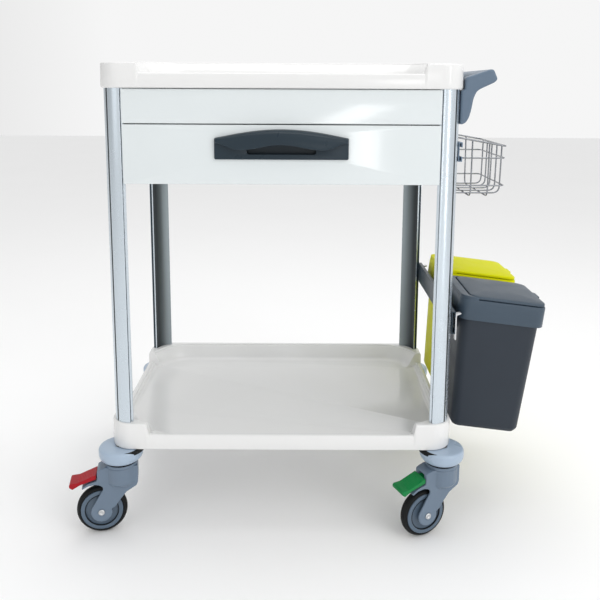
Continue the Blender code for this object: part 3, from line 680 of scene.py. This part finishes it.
def column_outline():
    """The rear right column's section, in from its outer faces.

    It is a quarter round with a lip on each flank, and a shallow trough across the cut inner corner.
    """
    radius = COLUMN_RADIUS
    round_part = [(radius - x, radius - y) for x, y in arc(0, 0, radius, 2, 88, 22)]
    back = LIP_SETBACK + LIP
    flank = [(COLUMN_CORE, 0), (COLUMN_CORE, LIP_SETBACK), (COLUMN, LIP_SETBACK), (COLUMN, back)]
    ends = soft_profile([round_part[-1]] + flank, 0.0006, 2)[1:]
    trough = []
    for k in range(1, CUT_STEPS):
        sink = CUT_DEPTH * math.sin(math.pi * k / CUT_STEPS) / math.sqrt(2)
        along = COLUMN + (back - COLUMN) * k / CUT_STEPS
        trough.append((along - sink, COLUMN + back - along - sink))
    return round_part + ends + trough + [(y, x) for x, y in reversed(ends)]


def column_slot(along, deep):
    """The finish of a column's face: 1 is a dark finish painted as shade in a lip's rebate, 2 is the
    trough's, with its painted shade, and 0 is the rest.
    """
    if abs(max(along, deep) - COLUMN_CORE) < 0.0002 and 0.0007 < min(along, deep) < LIP_SETBACK:
        return 1
    return 2 if min(along, deep) > LIP_SETBACK + LIP - 0.0001 else 0


def columns():
    section = column_outline()
    for name in CASTERS:
        sx = 1 if "right" in name else -1
        sy = 1 if "rear" in name else -1
        low, high = cart_box(f"column_{name}")
        outline = [(sx * (HALF_X - x), sy * (HALF_Y - y)) for x, y in section]
        mesh = loft(f"column_{name}", [level(outline, low.z), level(outline, high.z)])
        for face in mesh.polygons:
            along, deep = HALF_X - abs(face.center.x), HALF_Y - abs(face.center.y)
            face.material_index = column_slot(along, deep) if abs(face.normal.z) < 0.5 else 0
        # Slot 1 puts dark slate in the rebates as painted shade; slot 2 is the trough's finish, painted
        # darker as shade.
        finish = ("anodised_aluminium", "slate_plastic", "column_trough_painted_shade")
        piece(f"extruded_column_{name}", mesh, "frame", finish, [f"column_{name}"], sharp=30)


# ---- drawer unit


def folded_sheet(name, low, high, window=None):
    """A sheet front with its four edges folded back, and maybe a window."""
    radius = 0.0016

    def outline(inset, y, corner):
        points = rounded_rectangle(low.x + inset, high.x - inset, low.z + inset, high.z - inset, corner, 3)
        return [(x, y, z) for x, z in points]

    loops = [outline(radius * (1 - math.sin(a)), low.y + radius * (1 - math.cos(a)), 0.0012)
             for a in (math.pi * k / 8 for k in range(5))]
    loops += [outline(0, high.y, 0.0012), outline(SHEET, high.y, 0.0008)]
    loops += [outline(SHEET, low.y + SHEET, 0.0008)]
    if window is None:
        return loft(name, loops)
    left, right, bottom, top = window
    hole = rounded_rectangle(left, right, bottom, top, 0.0008, 3)
    behind = [(x, low.y + SHEET, z) for x, z in hole]
    before = [(x, low.y, z) for x, z in hole]
    return loft(name, loops + [behind, before], ring=True)


def drawer_unit():
    low, high = cart_box("front_fascia")
    piece("folded_fascia", folded_sheet("fascia", low, high), "frame", "painted_sheet", ["front_fascia"])
    low, high = cart_box("drawer_front")
    cup_low, cup_high = cart_box("drawer_handle_cup")
    window = (cup_low.x - 0.0003, cup_high.x + 0.0003, cup_low.z - 0.0003, cup_high.z + 0.0003)
    mesh = folded_sheet("front", low, high, window)
    piece("folded_drawer_front", mesh, "drawer", "painted_sheet", ["drawer_front"])
    for name in ("side_panel_left", "side_panel_right", "back_panel", "drawer_box"):
        dress(name, "painted_sheet", 0.0005)
    for side in ("left", "right"):
        dress(f"slide_carrier_{side}", "steel")
        for member in ("outer", "middle", "inner"):
            dress(f"slide_{member}_{side}", "steel", 0.0003)
    dress("drawer_handle_cup", "slate_plastic", 0.0005)


HANDLE_LOW, HANDLE_HIGH = cart_box("drawer_handle")
HANDLE_HALF = HANDLE_HIGH.x
HANDLE_SHOULDER = HANDLE_LOW.z + 0.0405
FINGER_HALF = 0.066
FINGER_LOW = HANDLE_LOW.z + 0.0100
FINGER_HIGH = HANDLE_LOW.z + 0.0455


def handle_top(x):
    rise = HANDLE_HIGH.z - HANDLE_SHOULDER
    return HANDLE_SHOULDER + rise * math.cos(math.pi / 2 * min(1.0, abs(x) / HANDLE_HALF))


def handle_lip(x):
    """The grip's lower edge: high over the fingers, with a dip beside them and a rise to the ends."""
    middle, dip, end, dip_at = 0.0310, 0.0210, 0.0335, 0.62
    part = min(1.0, abs(x) / HANDLE_HALF)
    if part < dip_at:
        wave = 0.5 + 0.5 * math.cos(math.pi * part / dip_at)
        return HANDLE_LOW.z + dip + (middle - dip) * wave
    wave = 0.5 - 0.5 * math.cos(math.pi * (part - dip_at) / (1 - dip_at))
    return HANDLE_LOW.z + dip + (end - dip) * wave


def drawer_handle():
    back = FACE - 0.0003
    stations = [HANDLE_HALF * (i / 20 - 1) for i in range(41)]
    top = [(x, handle_top(x)) for x in reversed(stations)]
    outline = [(-HANDLE_HALF, HANDLE_LOW.z), (HANDLE_HALF, HANDLE_LOW.z)] + top
    right_end = soft_profile(outline[:3], 0.003, 3)[1:]
    left_end = soft_profile(outline[-2:] + outline[:2], 0.003, 3)[1:-1]
    outline = right_end + outline[3:-1] + left_end
    window = rounded_rectangle(-FINGER_HALF, FINGER_HALF, FINGER_LOW, FINGER_HIGH, 0.004, 4)
    mesh = upright("handle_plate", [outline, window], GRIP_PLATE, 0.0007, back - GRIP_PLATE / 2)
    piece("handle_plate", mesh, "drawer", "slate_plastic", ["drawer_handle"])
    deepest = back - HANDLE_LOW.y
    grip = [grip_section(HANDLE_HALF * 0.994 * (i / 32 - 1), back, deepest) for i in range(65)]
    piece("handle_grip", loft("handle_grip", grip), "drawer", "slate_plastic", ["drawer_handle"], sharp=60)


def grip_section(x, back, deepest):
    """The grip's section: it springs from the arched top edge and bows out over the fingers."""
    bow = math.sqrt(max(0.0, 1 - (x / HANDLE_HALF) ** 2)) ** 0.8
    reach = GRIP_PLATE + 0.0012 + (deepest - GRIP_PLATE - 0.0012) * bow
    wall = min(GRIP_WALL, reach - GRIP_PLATE + 0.0006)
    top = handle_top(x) - 0.0001
    low = handle_lip(x)
    rise = top - low
    turn = [math.pi / 2 * k / 12 for k in range(13)]
    power = 0.72

    def bowed(out, up, angles):
        return [(out * math.sin(a) ** power, low + up * math.cos(a) ** power) for a in angles]

    section = bowed(reach, rise, turn)
    section += arc(reach - wall / 2, low, wall / 2, 0, -180, 6)[1:-1]
    section += bowed(reach - wall, rise - wall, reversed(turn))
    return [(x, back - y, z) for y, z in section]


# ---- side fittings


def push_handle():
    """Two swept arms and the slanting bar between them, run together as one moulding."""
    low, high = cart_box("push_handle")
    tray = TRAY_X + 0.0010
    under = cart_box("top_tray")[0].z - 0.0010
    tip = [(0.3990, 0.9520), (0.4050, 0.9510), (0.4130, 0.9330), (0.4080, 0.9270)]
    arm = [(low.x, under), (tray, under), (tray, 0.9360)] + tip
    arm += [(0.3800, 0.9140), (0.3735, 0.9090), (0.3680, 0.8960), (0.3650, 0.8760), (0.3610, 0.8600)]
    arm += [(0.3560, 0.8510), (0.3500, 0.8470), (low.x, low.z)]
    grip = tip + [(0.3850, 0.9165), (0.3840, 0.9455)]
    width = 0.028
    shapes = []
    for outline, middle, length in (
        (arm, low.y + width / 2, width),
        (arm, high.y - width / 2, width),
        (grip, (low.y + high.y) / 2, high.y - low.y - width),
    ):
        rounded = soft_profile(outline, 0.0060, 4, closed=True)
        shapes.append(upright("arm", [rounded], length, 0.0040, middle))
    mesh = moulded(joined("handle", shapes), voxel=0.0012, rounds=12, keep=0.35)
    piece("moulded_push_handle", mesh, "frame", "blue_grey_plastic", ["push_handle"], sharp=80)


def rail_mesh(name, low, high, lip):
    """A channel rail: a back flange against the columns, and two lips that face outwards."""
    wall = 0.0022
    within = high.x - wall
    outline = [(low.x, low.z), (high.x, low.z), (high.x, low.z + lip), (within, low.z + lip)]
    outline += [(within, low.z + wall), (low.x + wall, low.z + wall)]
    outline += [(low.x + wall, high.z - wall), (within, high.z - wall)]
    outline += [(within, high.z - lip), (high.x, high.z - lip), (high.x, high.z), (low.x, high.z)]
    section = soft_profile(outline, 0.0008, 2, closed=True)
    return loft(name, [[(x, y, z) for x, z in section] for y in (low.y, high.y)])


def rails():
    channels = (("basket_rail", 0.010, "blue_grey_plastic"), ("bin_rail", 0.012, "slate_plastic"))
    for name, lip, finish in channels:
        low, high = cart_box(name)
        piece(f"{name}_channel", rail_mesh(name, low, high, lip), "frame", finish, [name])
    for name in ("front", "rear"):
        low, high = cart_box(f"bin_rail_bracket_{name}")
        strip = [(low.x, low.z), (high.x, low.z), (high.x, high.z - 0.004)]
        strip += [(high.x + 0.0085, high.z - 0.0005), (high.x + 0.0080, high.z + 0.0022), (low.x, high.z)]
        bent = soft_profile(strip, 0.0012, 3, closed=True)
        mesh = upright("bracket", [bent], high.y - low.y, 0.0006, (low.y + high.y) / 2)
        piece(f"bent_bracket_{name}", mesh, "frame", "steel", [f"bin_rail_bracket_{name}"])


def basket():
    """Bent wires: a rim and two loops round the sides, and wires that pass down and under both ways."""
    low, high = cart_box("wire_basket")
    side, out = low.x + WIRE, high.x - WIRE
    front, back = low.y + WIRE, high.y - WIRE
    base = low.z + WIRE
    rim_top = high.z - WIRE

    def rim(x):
        return rim_top - BASKET_FALL * (x - low.x)

    corner = rounded_rectangle(side, out, front, back, 0.011, 6)
    wires = [tube([(x, y, rim(x)) for x, y in corner], 0.0019, cyclic=True)]
    inner = rounded_rectangle(side + WIRE, out - WIRE, front + WIRE, back - WIRE, 0.010, 6)
    for height in BASKET_RINGS:
        wires.append(tube([(x, y, height) for x, y in inner], WIRE, cyclic=True))
    for x in BASKET_LONG_WIRES:
        across = bend([(front, rim(x)), (front + 0.003, base), (back - 0.003, base), (back, rim(x))], 0.018)
        wires.append(tube([(x, y, z) for y, z in across], WIRE))
    lower = base + 2 * WIRE
    for y in BASKET_CROSS_WIRES:
        along = bend([(side, rim(side)), (side, lower), (out - 0.002, lower), (out, rim(out))], 0.015)
        wires.append(tube([(x, y, z) for x, z in along], WIRE))
    for y in (-0.0600, 0.0600):
        top = cart_box("basket_rail")[1].z
        hook = [(side, rim(side) - 0.030), (side, top + 0.004)]
        hook += [(side - 0.007, top + 0.004), (side - 0.007, top - 0.006)]
        wires.append(tube([(x, y, z) for x, z in bend(hook, 0.003)], WIRE))
    piece("bent_wire_basket", joined("basket", wires), "frame", "chrome_wire", ["wire_basket"], sharp=60)


# ---- bins


def bin_frame(name):
    hinge = Vector(JOINTS[f"flap_{name}"]["pos_m"])
    tilt = Matrix.Rotation(BIN_TILT, 4, "Y")
    return Matrix.Translation(hinge) @ tilt @ Matrix.Translation((-DECK, -BIN_LENGTH / 2, -FLAP_Z))


def bin_loop(left, right, inset, radius, height):
    return level(rounded_rectangle(left, right, inset, BIN_LENGTH - inset, radius), height)


def bin_body(name, place):
    """A tapering bucket with a chamfered foot, and the hook that hangs it on the rail."""
    wall = BIN_WALL
    foot = 0.006
    near, far, low = BIN_BOTTOM_IN, BIN_BOTTOM_OUT, -BIN_HEIGHT
    steps = [
        (near + foot, far - foot, 0.018, 0.014, low),
        (near + 0.0015, far - 0.0015, 0.0135, 0.018, low + 0.0060),
        (near, far, 0.012, 0.019, low + 0.0095),
        (0.0012, BIN_TOP_WIDTH - 0.0002, 0.0036, 0.021, -0.004),
        (0, BIN_TOP_WIDTH, 0.003, 0.021, 0.011),
        (0.0008, BIN_TOP_WIDTH - 0.0008, 0.0038, 0.0205, 0.012),
        (wall, BIN_TOP_WIDTH - wall, 0.003 + wall, 0.019, 0.0115),
        (near + wall, far - wall, 0.012 + wall, 0.016, low + 0.0110),
        (near + foot + wall, far - foot - wall, 0.018 + wall, 0.012, low + wall),
    ]
    loops = [bin_loop(*step) for step in steps]
    hook = soft_box("hook", (-0.0120, 0.050, -0.036), (0.0040, BIN_LENGTH - 0.050, -0.004), 0.0012)
    bucket = joined("body", [loft("body", loops), hook])
    finish = "dark_grey_plastic" if name == "grey" else "yellow_plastic"
    piece(f"bin_{name}_bucket", bucket, "frame", finish, [f"bin_{name}_body"], place, 40)


def bin_rim(name, place):
    """The skirt round the bucket's top, and the deck beside the flap's hinge."""
    wall = SKIRT_WALL
    out, inner = SKIRT_OUT, SKIRT_IN
    steps = [
        (inner + wall, out - wall, wall, 0.020, SKIRT_LOW),
        (inner + 0.0006, out - 0.0006, 0.0006, 0.0214, SKIRT_LOW),
        (inner, out, 0, 0.0220, SKIRT_LOW + 0.0008),
        (inner + 0.0003, out - 0.0003, 0.0003, 0.0220, SKIRT_HIGH - 0.0030),
        (inner + 0.0010, out - 0.0010, 0.0010, 0.0213, SKIRT_HIGH - 0.0008),
        (inner + 0.0030, out - 0.0030, 0.0030, 0.0195, SKIRT_HIGH + 0.0006),
        (DECK + 0.006, out - 0.0105, 0.0110, 0.014, SKIRT_HIGH + 0.0014),
        (DECK + 0.0068, out - 0.0113, 0.0118, 0.0132, SKIRT_HIGH + 0.0006),
        (DECK + 0.0068, out - 0.0113, 0.0118, 0.0132, SKIRT_HIGH - 0.0010),
        (inner + wall, out - wall, wall, 0.020, SKIRT_HIGH - 0.0040),
    ]
    loops = [bin_loop(*step) for step in steps]
    skirt = joined("rim", [loft("rim", loops, ring=True), deck_mesh()])
    piece(f"bin_{name}_skirt", skirt, "frame", bin_finish(name), [f"bin_{name}_rim"], place, 50)


def deck_mesh():
    """The strip between the skirt and the flap. Its ends follow the flap's round corners."""
    gap = 0.0030
    radius = 0.0200
    reach = 0.0300
    inset = 0.0012
    corner = 0.0205
    left = SKIRT_IN + inset
    hinge = DECK - gap
    outline = [(reach, inset)]
    outline += reversed(arc(left + corner, inset + corner, corner, 180, 270, 7))
    outline += reversed(arc(left + corner, BIN_LENGTH - inset - corner, corner, 90, 180, 7))
    outline += [(reach, BIN_LENGTH - inset)]
    near = inset + 0.0010
    outline += arc(hinge + radius, BIN_LENGTH - near - radius, radius, 95, 180, 8)
    outline += arc(hinge + radius, near + radius, radius, 180, 265, 8)
    low, high = SKIRT_HIGH - 0.002, FLAP_Z + 0.0016
    return moved(plate("deck", [outline], high - low, 0.0010), Matrix.Translation((0, 0, (low + high) / 2)))


def bin_finish(name):
    return "lid_grey_plastic" if name == "grey" else "yellow_plastic"


def bin_flap(name, place):
    """The flap over the rim, crowned, with a finger tab at its outer edge."""
    out = SKIRT_OUT - DECK
    steps = [(0.0000, -0.0022), (0.0002, -0.0004), (0.0002, 0.0006), (0.0008, 0.0017), (0.0022, 0.0025)]
    steps += [(0.0060, 0.0033), (0.0130, 0.0043), (0.0240, 0.0055), (0.0400, 0.0065), (0.0600, 0.0071)]
    loops = []
    for inset, height in steps:
        radius = max(0.004, 0.0200 - 0.6 * inset)
        left, right = inset * 0.9, out - 0.0024 - inset
        loop = rounded_rectangle(left, right, 0.0018 + inset, BIN_LENGTH - 0.0018 - inset, radius)
        loops.append(level(loop, height))
    middle = BIN_LENGTH / 2
    tab_low = (out - 0.0100, middle - 0.016, -0.0020)
    tab_high = (out + 0.0028, middle + 0.016, 0.0014)
    lid = joined("flap", [loft("flap", loops), soft_box("tab", tab_low, tab_high, 0.0010)])
    hinge = place @ Matrix.Translation((DECK, 0, FLAP_Z))
    piece(f"bin_{name}_lid", lid, f"flap_{name}", bin_finish(name), [f"bin_{name}_flap"], hinge, 50)


def bins():
    for name in ("grey", "yellow"):
        place = bin_frame(name)
        bin_body(name, place)
        bin_rim(name, place)
        bin_flap(name, place)


# ---- casters


def caster_place(name):
    """The swivel's frame on the floor, with X towards the axle, and the wheel's frame on the axle."""
    swivel = Vector(JOINTS[f"swivel_{name}"]["pos_m"])
    axle = Vector(JOINTS[f"wheel_{name}"]["pos_m"])
    heading = Matrix.Rotation(math.atan2(axle.y - swivel.y, axle.x - swivel.x), 4, "Z")
    stand = Matrix.Translation((swivel.x, swivel.y, 0)) @ heading
    wheel_place = Matrix.Translation(axle) @ heading @ Matrix.Rotation(-math.pi / 2, 4, "X")
    return stand, wheel_place


def caster_cap(name, stand):
    """The domed cap under the tray, and the dark gasket on it, set towards the cart's middle so that it shows
    on the inner side as the tray's painted shadow.
    """
    low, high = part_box(f"caster_{name}_cap")
    top = high.z
    dome = [(CAP_BORE, top), (0.0360, top), (0.0425, top - 0.0012), (0.0448, top - 0.0050)]
    dome += [(0.0450, top - 0.0140), (0.0445, top - 0.0185), (0.0425, top - 0.0235)]
    dome += [(0.0370, low.z + 0.0004), (0.0330, low.z), (CAP_BORE, low.z)]
    mesh = soft_ring("cap", dome, 0.0035, 4)
    piece(f"caster_{name}_dome", mesh, "frame", "caster_cap", [f"caster_{name}_cap"], stand, 50)
    inner, outer = 0.0170, 0.0385
    gasket_and_shadow = [(inner, top - 0.0008), (outer, top - 0.0008), (outer, top - 0.0088), (inner, top - 0.0088)]
    mesh = soft_ring("gasket_and_shadow", gasket_and_shadow, 0.0008, 2)
    # The gasket is set inwards so that its dark ring paints the tray's shadow on the cap's inner side.
    swivel = Vector(JOINTS[f"swivel_{name}"]["pos_m"])
    inward = GASKET_SHADOW_SHIFT if swivel.x < CART.x else -GASKET_SHADOW_SHIFT
    place = Matrix.Translation((swivel.x + inward, swivel.y, 0))
    piece(f"caster_{name}_gasket", mesh, "frame", "caster_tyre", (), place)


def caster_fork(name, stand, fork):
    """The fork, with the collar and the dark seal that turn with it under the cap."""
    body = f"swivel_{name}"
    piece(f"caster_{name}_yoke", fork.copy(), body, "caster_fork", [f"caster_{name}_fork"], stand, 80)
    bore, radius = COLLAR_BORE, COLLAR_RADIUS
    foot, middle, top = FORK_TOP - 0.0010, FORK_TOP + 0.0052, FORK_TOP + 0.0096
    collar = [(bore, foot), (radius, foot), (radius, middle - 0.0006), (0.0300, middle), (bore, middle)]
    mesh = soft_ring("collar", collar, 0.0012, 3)
    piece(f"caster_{name}_collar", mesh, body, "caster_fork", (), stand)
    seal = [(bore, middle + 0.0002), (radius, middle + 0.0002), (0.0332, middle + 0.0012)]
    seal += [(0.0332, top - 0.0008), (radius, top), (bore, top)]
    mesh = soft_ring("seal", seal, 0.0005, 2)
    piece(f"caster_{name}_seal", mesh, body, "caster_tyre", (), stand)


def bored(mesh, cutters):
    """The mesh with each cutter's shape taken out of it."""
    obj = linked("bored", mesh)
    tools = [linked("cutter", cutter) for cutter in cutters]
    for tool in tools:
        modify(obj, "BOOLEAN", operation="DIFFERENCE", solver="EXACT", object=tool)
    result = evaluated(obj)
    for tool in tools:
        bpy.data.objects.remove(tool)
    return result


def hood_meshes():
    """The hood's roof, and a cheek on each side of the pedal's shank."""
    top = [(0.0240, 0.1478), (0.0330, 0.1472), (0.0420, 0.1445), (0.0488, 0.1408)]
    roof = top + [(0.0488, 0.1382), (0.0420, 0.1402), (0.0240, 0.1430)]
    cheek = top + [(0.0490, 0.1290), (0.0470, 0.1180), (0.0240, 0.1180)]
    meshes = [upright("roof", [roof], 2 * FORK_HALF, 0.0008)]
    for side in (-1, 1):
        wall = upright("cheek", [cheek], HOOD_WALL, 0.0008)
        meshes.append(moved(wall, Matrix.Translation((0, side * (FORK_HALF - HOOD_WALL / 2), 0))))
    return meshes


def fork_moulding(hooded):
    """The fork in its swivel's frame. A front one has a hood over the pedal's shank.

    Its shapes run together, which closes its bores, so the stem's and the axle's are cut again.
    """
    stand, _ = caster_place("front_left")
    parts = [moved(cad_mesh("caster_front_left_fork"), stand.inverted())]
    if hooded:
        parts += hood_meshes()
    fork = moulded(joined("fork", parts), voxel=0.0011, rounds=22, keep=0.25)
    stem_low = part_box("caster_front_left_stem")[0].z
    stem_bore = lathe("bore", [(STEM_BORE, stem_low - 0.0010), (STEM_BORE, FORK_TOP + 0.0100)], 48)
    axle = stand.inverted() @ Vector(JOINTS["wheel_front_left"]["pos_m"])
    axle_bore = moved(lathe("bore", [(AXLE_BORE, -0.0300), (AXLE_BORE, 0.0300)], 32), STAND)
    return bored(fork, [stem_bore, moved(axle_bore, Matrix.Translation(axle))])


def pedal_moulding(side, stand):
    """The pedal in its swivel's frame: a curled pad on a shank, with fine grip ridges across its top."""
    pad = [(0.0165, 0.0005), (0.0200, -0.0010), (0.0530, -0.0140), (0.0680, -0.0150), (0.0705, -0.0185)]
    pad += [(0.0700, -0.0230), (0.0640, -0.0275), (0.0595, -0.0250)]
    pad += [(0.0500, -0.0195), (0.0360, -0.0148), (0.0165, -0.0085)]
    shank = [(-0.0060, -0.0060), (0.0200, -0.0085), (0.0200, -0.0010), (-0.0060, 0.0000)]
    parts = [upright("pad", [pad], 2 * FORK_HALF, 0.0010), upright("shank", [shank], 0.016, 0.0005)]
    pivot = stand.inverted() @ Vector(JOINTS[f"brake_pedal_front_{side}"]["pos_m"])
    pedal = moulded(joined("pedal", parts), voxel=0.0007, rounds=9, keep=0.35)
    first, last = Vector((0.0240, 0, -0.0030)), Vector((0.0510, 0, -0.0136))
    ridges = [moved(pedal, Matrix.Translation(pivot))]
    for k in range(PEDAL_RIDGES):
        place = pivot + first.lerp(last, k / (PEDAL_RIDGES - 1))
        reach = Vector((0, FORK_HALF - 0.0030, 0))
        ridges.append(tube([place - reach, place + reach], 0.0008))
    return joined("pedal", ridges)


def wheel(name, place):
    """A tyre on a dished hub, a dark ring let into each side of the hub, and the axle bolt with its heads."""
    half = WHEEL_WIDTH / 2
    rim = RIM_RADIUS
    out = WHEEL_RADIUS
    body = f"wheel_{name}"
    tyre = [(rim + 0.0003, half - 0.0022), (out - 0.0068, half - 0.0014), (out - 0.0035, half - 0.0032)]
    tyre += [(out - 0.0010, half - 0.0068), (out, 0.0030)]
    mesh = soft_ring("tyre", both_sides(tyre), 0.0030, 4, 96)
    piece(f"caster_{name}_tread", mesh, body, "caster_tyre", [f"caster_{name}_tyre"], place, 60)
    hub = [(0.0052, half - 0.0005), (0.0110, half - 0.0005), (0.0125, half - 0.0035)]
    hub += [(0.0300, half - 0.0050), (0.0322, half - 0.0045), (0.0330, half - 0.0010)]
    hub += [(0.0345, half - 0.0002), (0.0410, half), (rim, half - 0.0010)]
    mesh = soft_ring("hub", both_sides(hub), 0.0008, 2, 96)
    piece(f"caster_{name}_hub_disc", mesh, body, "caster_hub", [f"caster_{name}_hub"], place, 40)
    groove = [(0.0326, half - 0.0035), (0.0340, half - 0.0035)]
    groove += [(0.0343, half + 0.0001), (0.0329, half + 0.0001)]
    for end, side in ((1, "near"), (-1, "far")):
        mesh = lathe("groove", [(radius, end * height) for radius, height in groove], 96, ring=True)
        piece(f"caster_{name}_ring_{side}", mesh, body, "caster_tyre", (), place)
    reach = FORK_HALF + 0.0003
    bolt = [(0.0022, reach + 0.0012), (0.0034, reach + 0.0024), (0.0052, reach + 0.0024)]
    bolt += [(0.0065, reach + 0.0012), (0.0065, reach), (0.0040, reach)]
    mesh = lathe("axle", soft_profile(both_sides(bolt), 0.0004, 2), 32)
    piece(f"caster_{name}_bolt", mesh, body, "steel", [f"caster_{name}_axle"], place, 40)


def casters():
    forks = {"front": fork_moulding(True), "rear": fork_moulding(False)}
    for name in CASTERS:
        stand, place = caster_place(name)
        caster_cap(name, stand)
        caster_fork(name, stand, forks[name.split("_")[0]])
        wheel(name, place)
        dress(f"caster_{name}_stem", "steel", 0.0003)
    for side, finish in (("left", "pedal_red"), ("right", "pedal_green")):
        stand, _ = caster_place(f"front_{side}")
        mesh = pedal_moulding(side, stand)
        replaced = [f"brake_pedal_front_{side}"]
        piece(f"moulded_pedal_{side}", mesh, f"pedal_front_{side}", finish, replaced, stand, 80)


# ---- fasteners


def screw_heads(name, places, matrix):
    """Pan heads with a driver recess. The matrix turns +Z out of the surface they sit on."""
    head = [(0.0012, 0.0008), (0.0014, 0.0020), (0.0024, 0.0019)]
    head += [(0.0036, 0.0012), (0.0040, 0.0), (0.0038, -0.0010)]
    heads = [moved(lathe("head", head, 20), Matrix.Translation(place) @ matrix) for place in places]
    piece(name, joined(name, heads), "frame", "steel", (), sharp=40)


def fasteners():
    low, high = cart_box("back_panel")
    inset = 0.012
    across = (low.x + inset, 0.0, high.x - inset)
    places = [(x, high.y, z) for x in across for z in (low.z + inset, high.z - 0.03)]
    screw_heads("back_panel_screws", places, Matrix.Rotation(-math.pi / 2, 4, "X"))
    for name, sign in (("left", -1), ("right", 1)):
        low, high = cart_box(f"side_panel_{name}")
        x = low.x if sign < 0 else high.x
        places = [(x, y, z) for y in (low.y + inset, high.y - inset) for z in (low.z + inset, high.z - 0.03)]
        screw_heads(f"side_panel_screws_{name}", places, Matrix.Rotation(sign * math.pi / 2, 4, "Y"))


# ---- studio and camera


def studio():
    floor = linked("floor", bpy.data.meshes.new("floor"))
    work = bmesh.new()
    bmesh.ops.create_grid(work, x_segments=1, y_segments=1, size=12)
    work.to_mesh(floor.data)
    work.free()
    look = finish_material("floor", (0.93, 0.93, 0.93), 0.85, drift=0.01, clouds=1.5, depth=0.0)
    floor.data.materials.append(look)
    world = bpy.data.worlds.new("studio")
    bpy.context.scene.world = world
    world.use_nodes = True
    tree = world.node_tree
    background = tree.nodes["Background"]
    background.inputs["Color"].default_value = (1.0, 1.0, 1.0, 1)
    strength = ranged(tree, axes(tree, "Generated")["X"], 0.50, 0.92, -0.85, -0.25)
    tree.links.new(strength, background.inputs["Strength"])
    soft_light("key", (1.7, -2.3, 2.5), (0, 0, 0.5), (1.8, 1.8), 15)
    soft_light("fill", (-2.0, -2.2, 1.3), (0, 0, 0.5), (1.4, 1.4), 4)
    soft_light("top", (0.1, 0.2, 3.0), (0, 0, 0.4), (2.2, 1.6), 24)
    soft_light("window", (0.66, -3.6, 0.6), (0.1, 0, 0.7), (0.36, 0.85), 3.5)
    soft_light("strip", (2.2, -2.3, 0.9), (0.2, 0, 0.6), (0.16, 1.7), 7)


def soft_light(name, place, target, size, power):
    light = bpy.data.lights.new(name, "AREA")
    light.shape = "RECTANGLE"
    light.size, light.size_y = size
    light.energy = power
    obj = linked(name, light)
    obj.location = place
    obj.rotation_mode = "QUATERNION"
    obj.rotation_quaternion = (Vector(target) - Vector(place)).to_track_quat("-Z", "Y")


def camera():
    """A standing person's view from the front, a little to the left of the drawer's middle."""
    yaw, pitch, roll = 0.0019, -0.1610, 0.0049
    forward = Vector((math.sin(yaw) * math.cos(pitch), math.cos(yaw) * math.cos(pitch), math.sin(pitch)))
    right = Vector((math.cos(yaw), -math.sin(yaw), 0))
    up = right.cross(forward)
    rolled_right = math.cos(roll) * right + math.sin(roll) * up
    rolled_up = math.cos(roll) * up - math.sin(roll) * right
    data = bpy.data.cameras.new("camera")
    data.sensor_width = 36
    data.lens = 43.6
    data.shift_y = -0.158
    eye = linked("camera", data)
    turn = Matrix((rolled_right, rolled_up, -forward)).transposed().to_4x4()
    eye.matrix_world = Matrix.Translation(CART + Vector((0.0332, -1.6186, 0.9161))) @ turn
    bpy.context.scene.camera = eye


trays()
columns()
drawer_unit()
drawer_handle()
push_handle()
rails()
basket()
bins()
casters()
fasteners()
studio()
camera()
bpy.context.scene.view_settings.view_transform = "Standard"
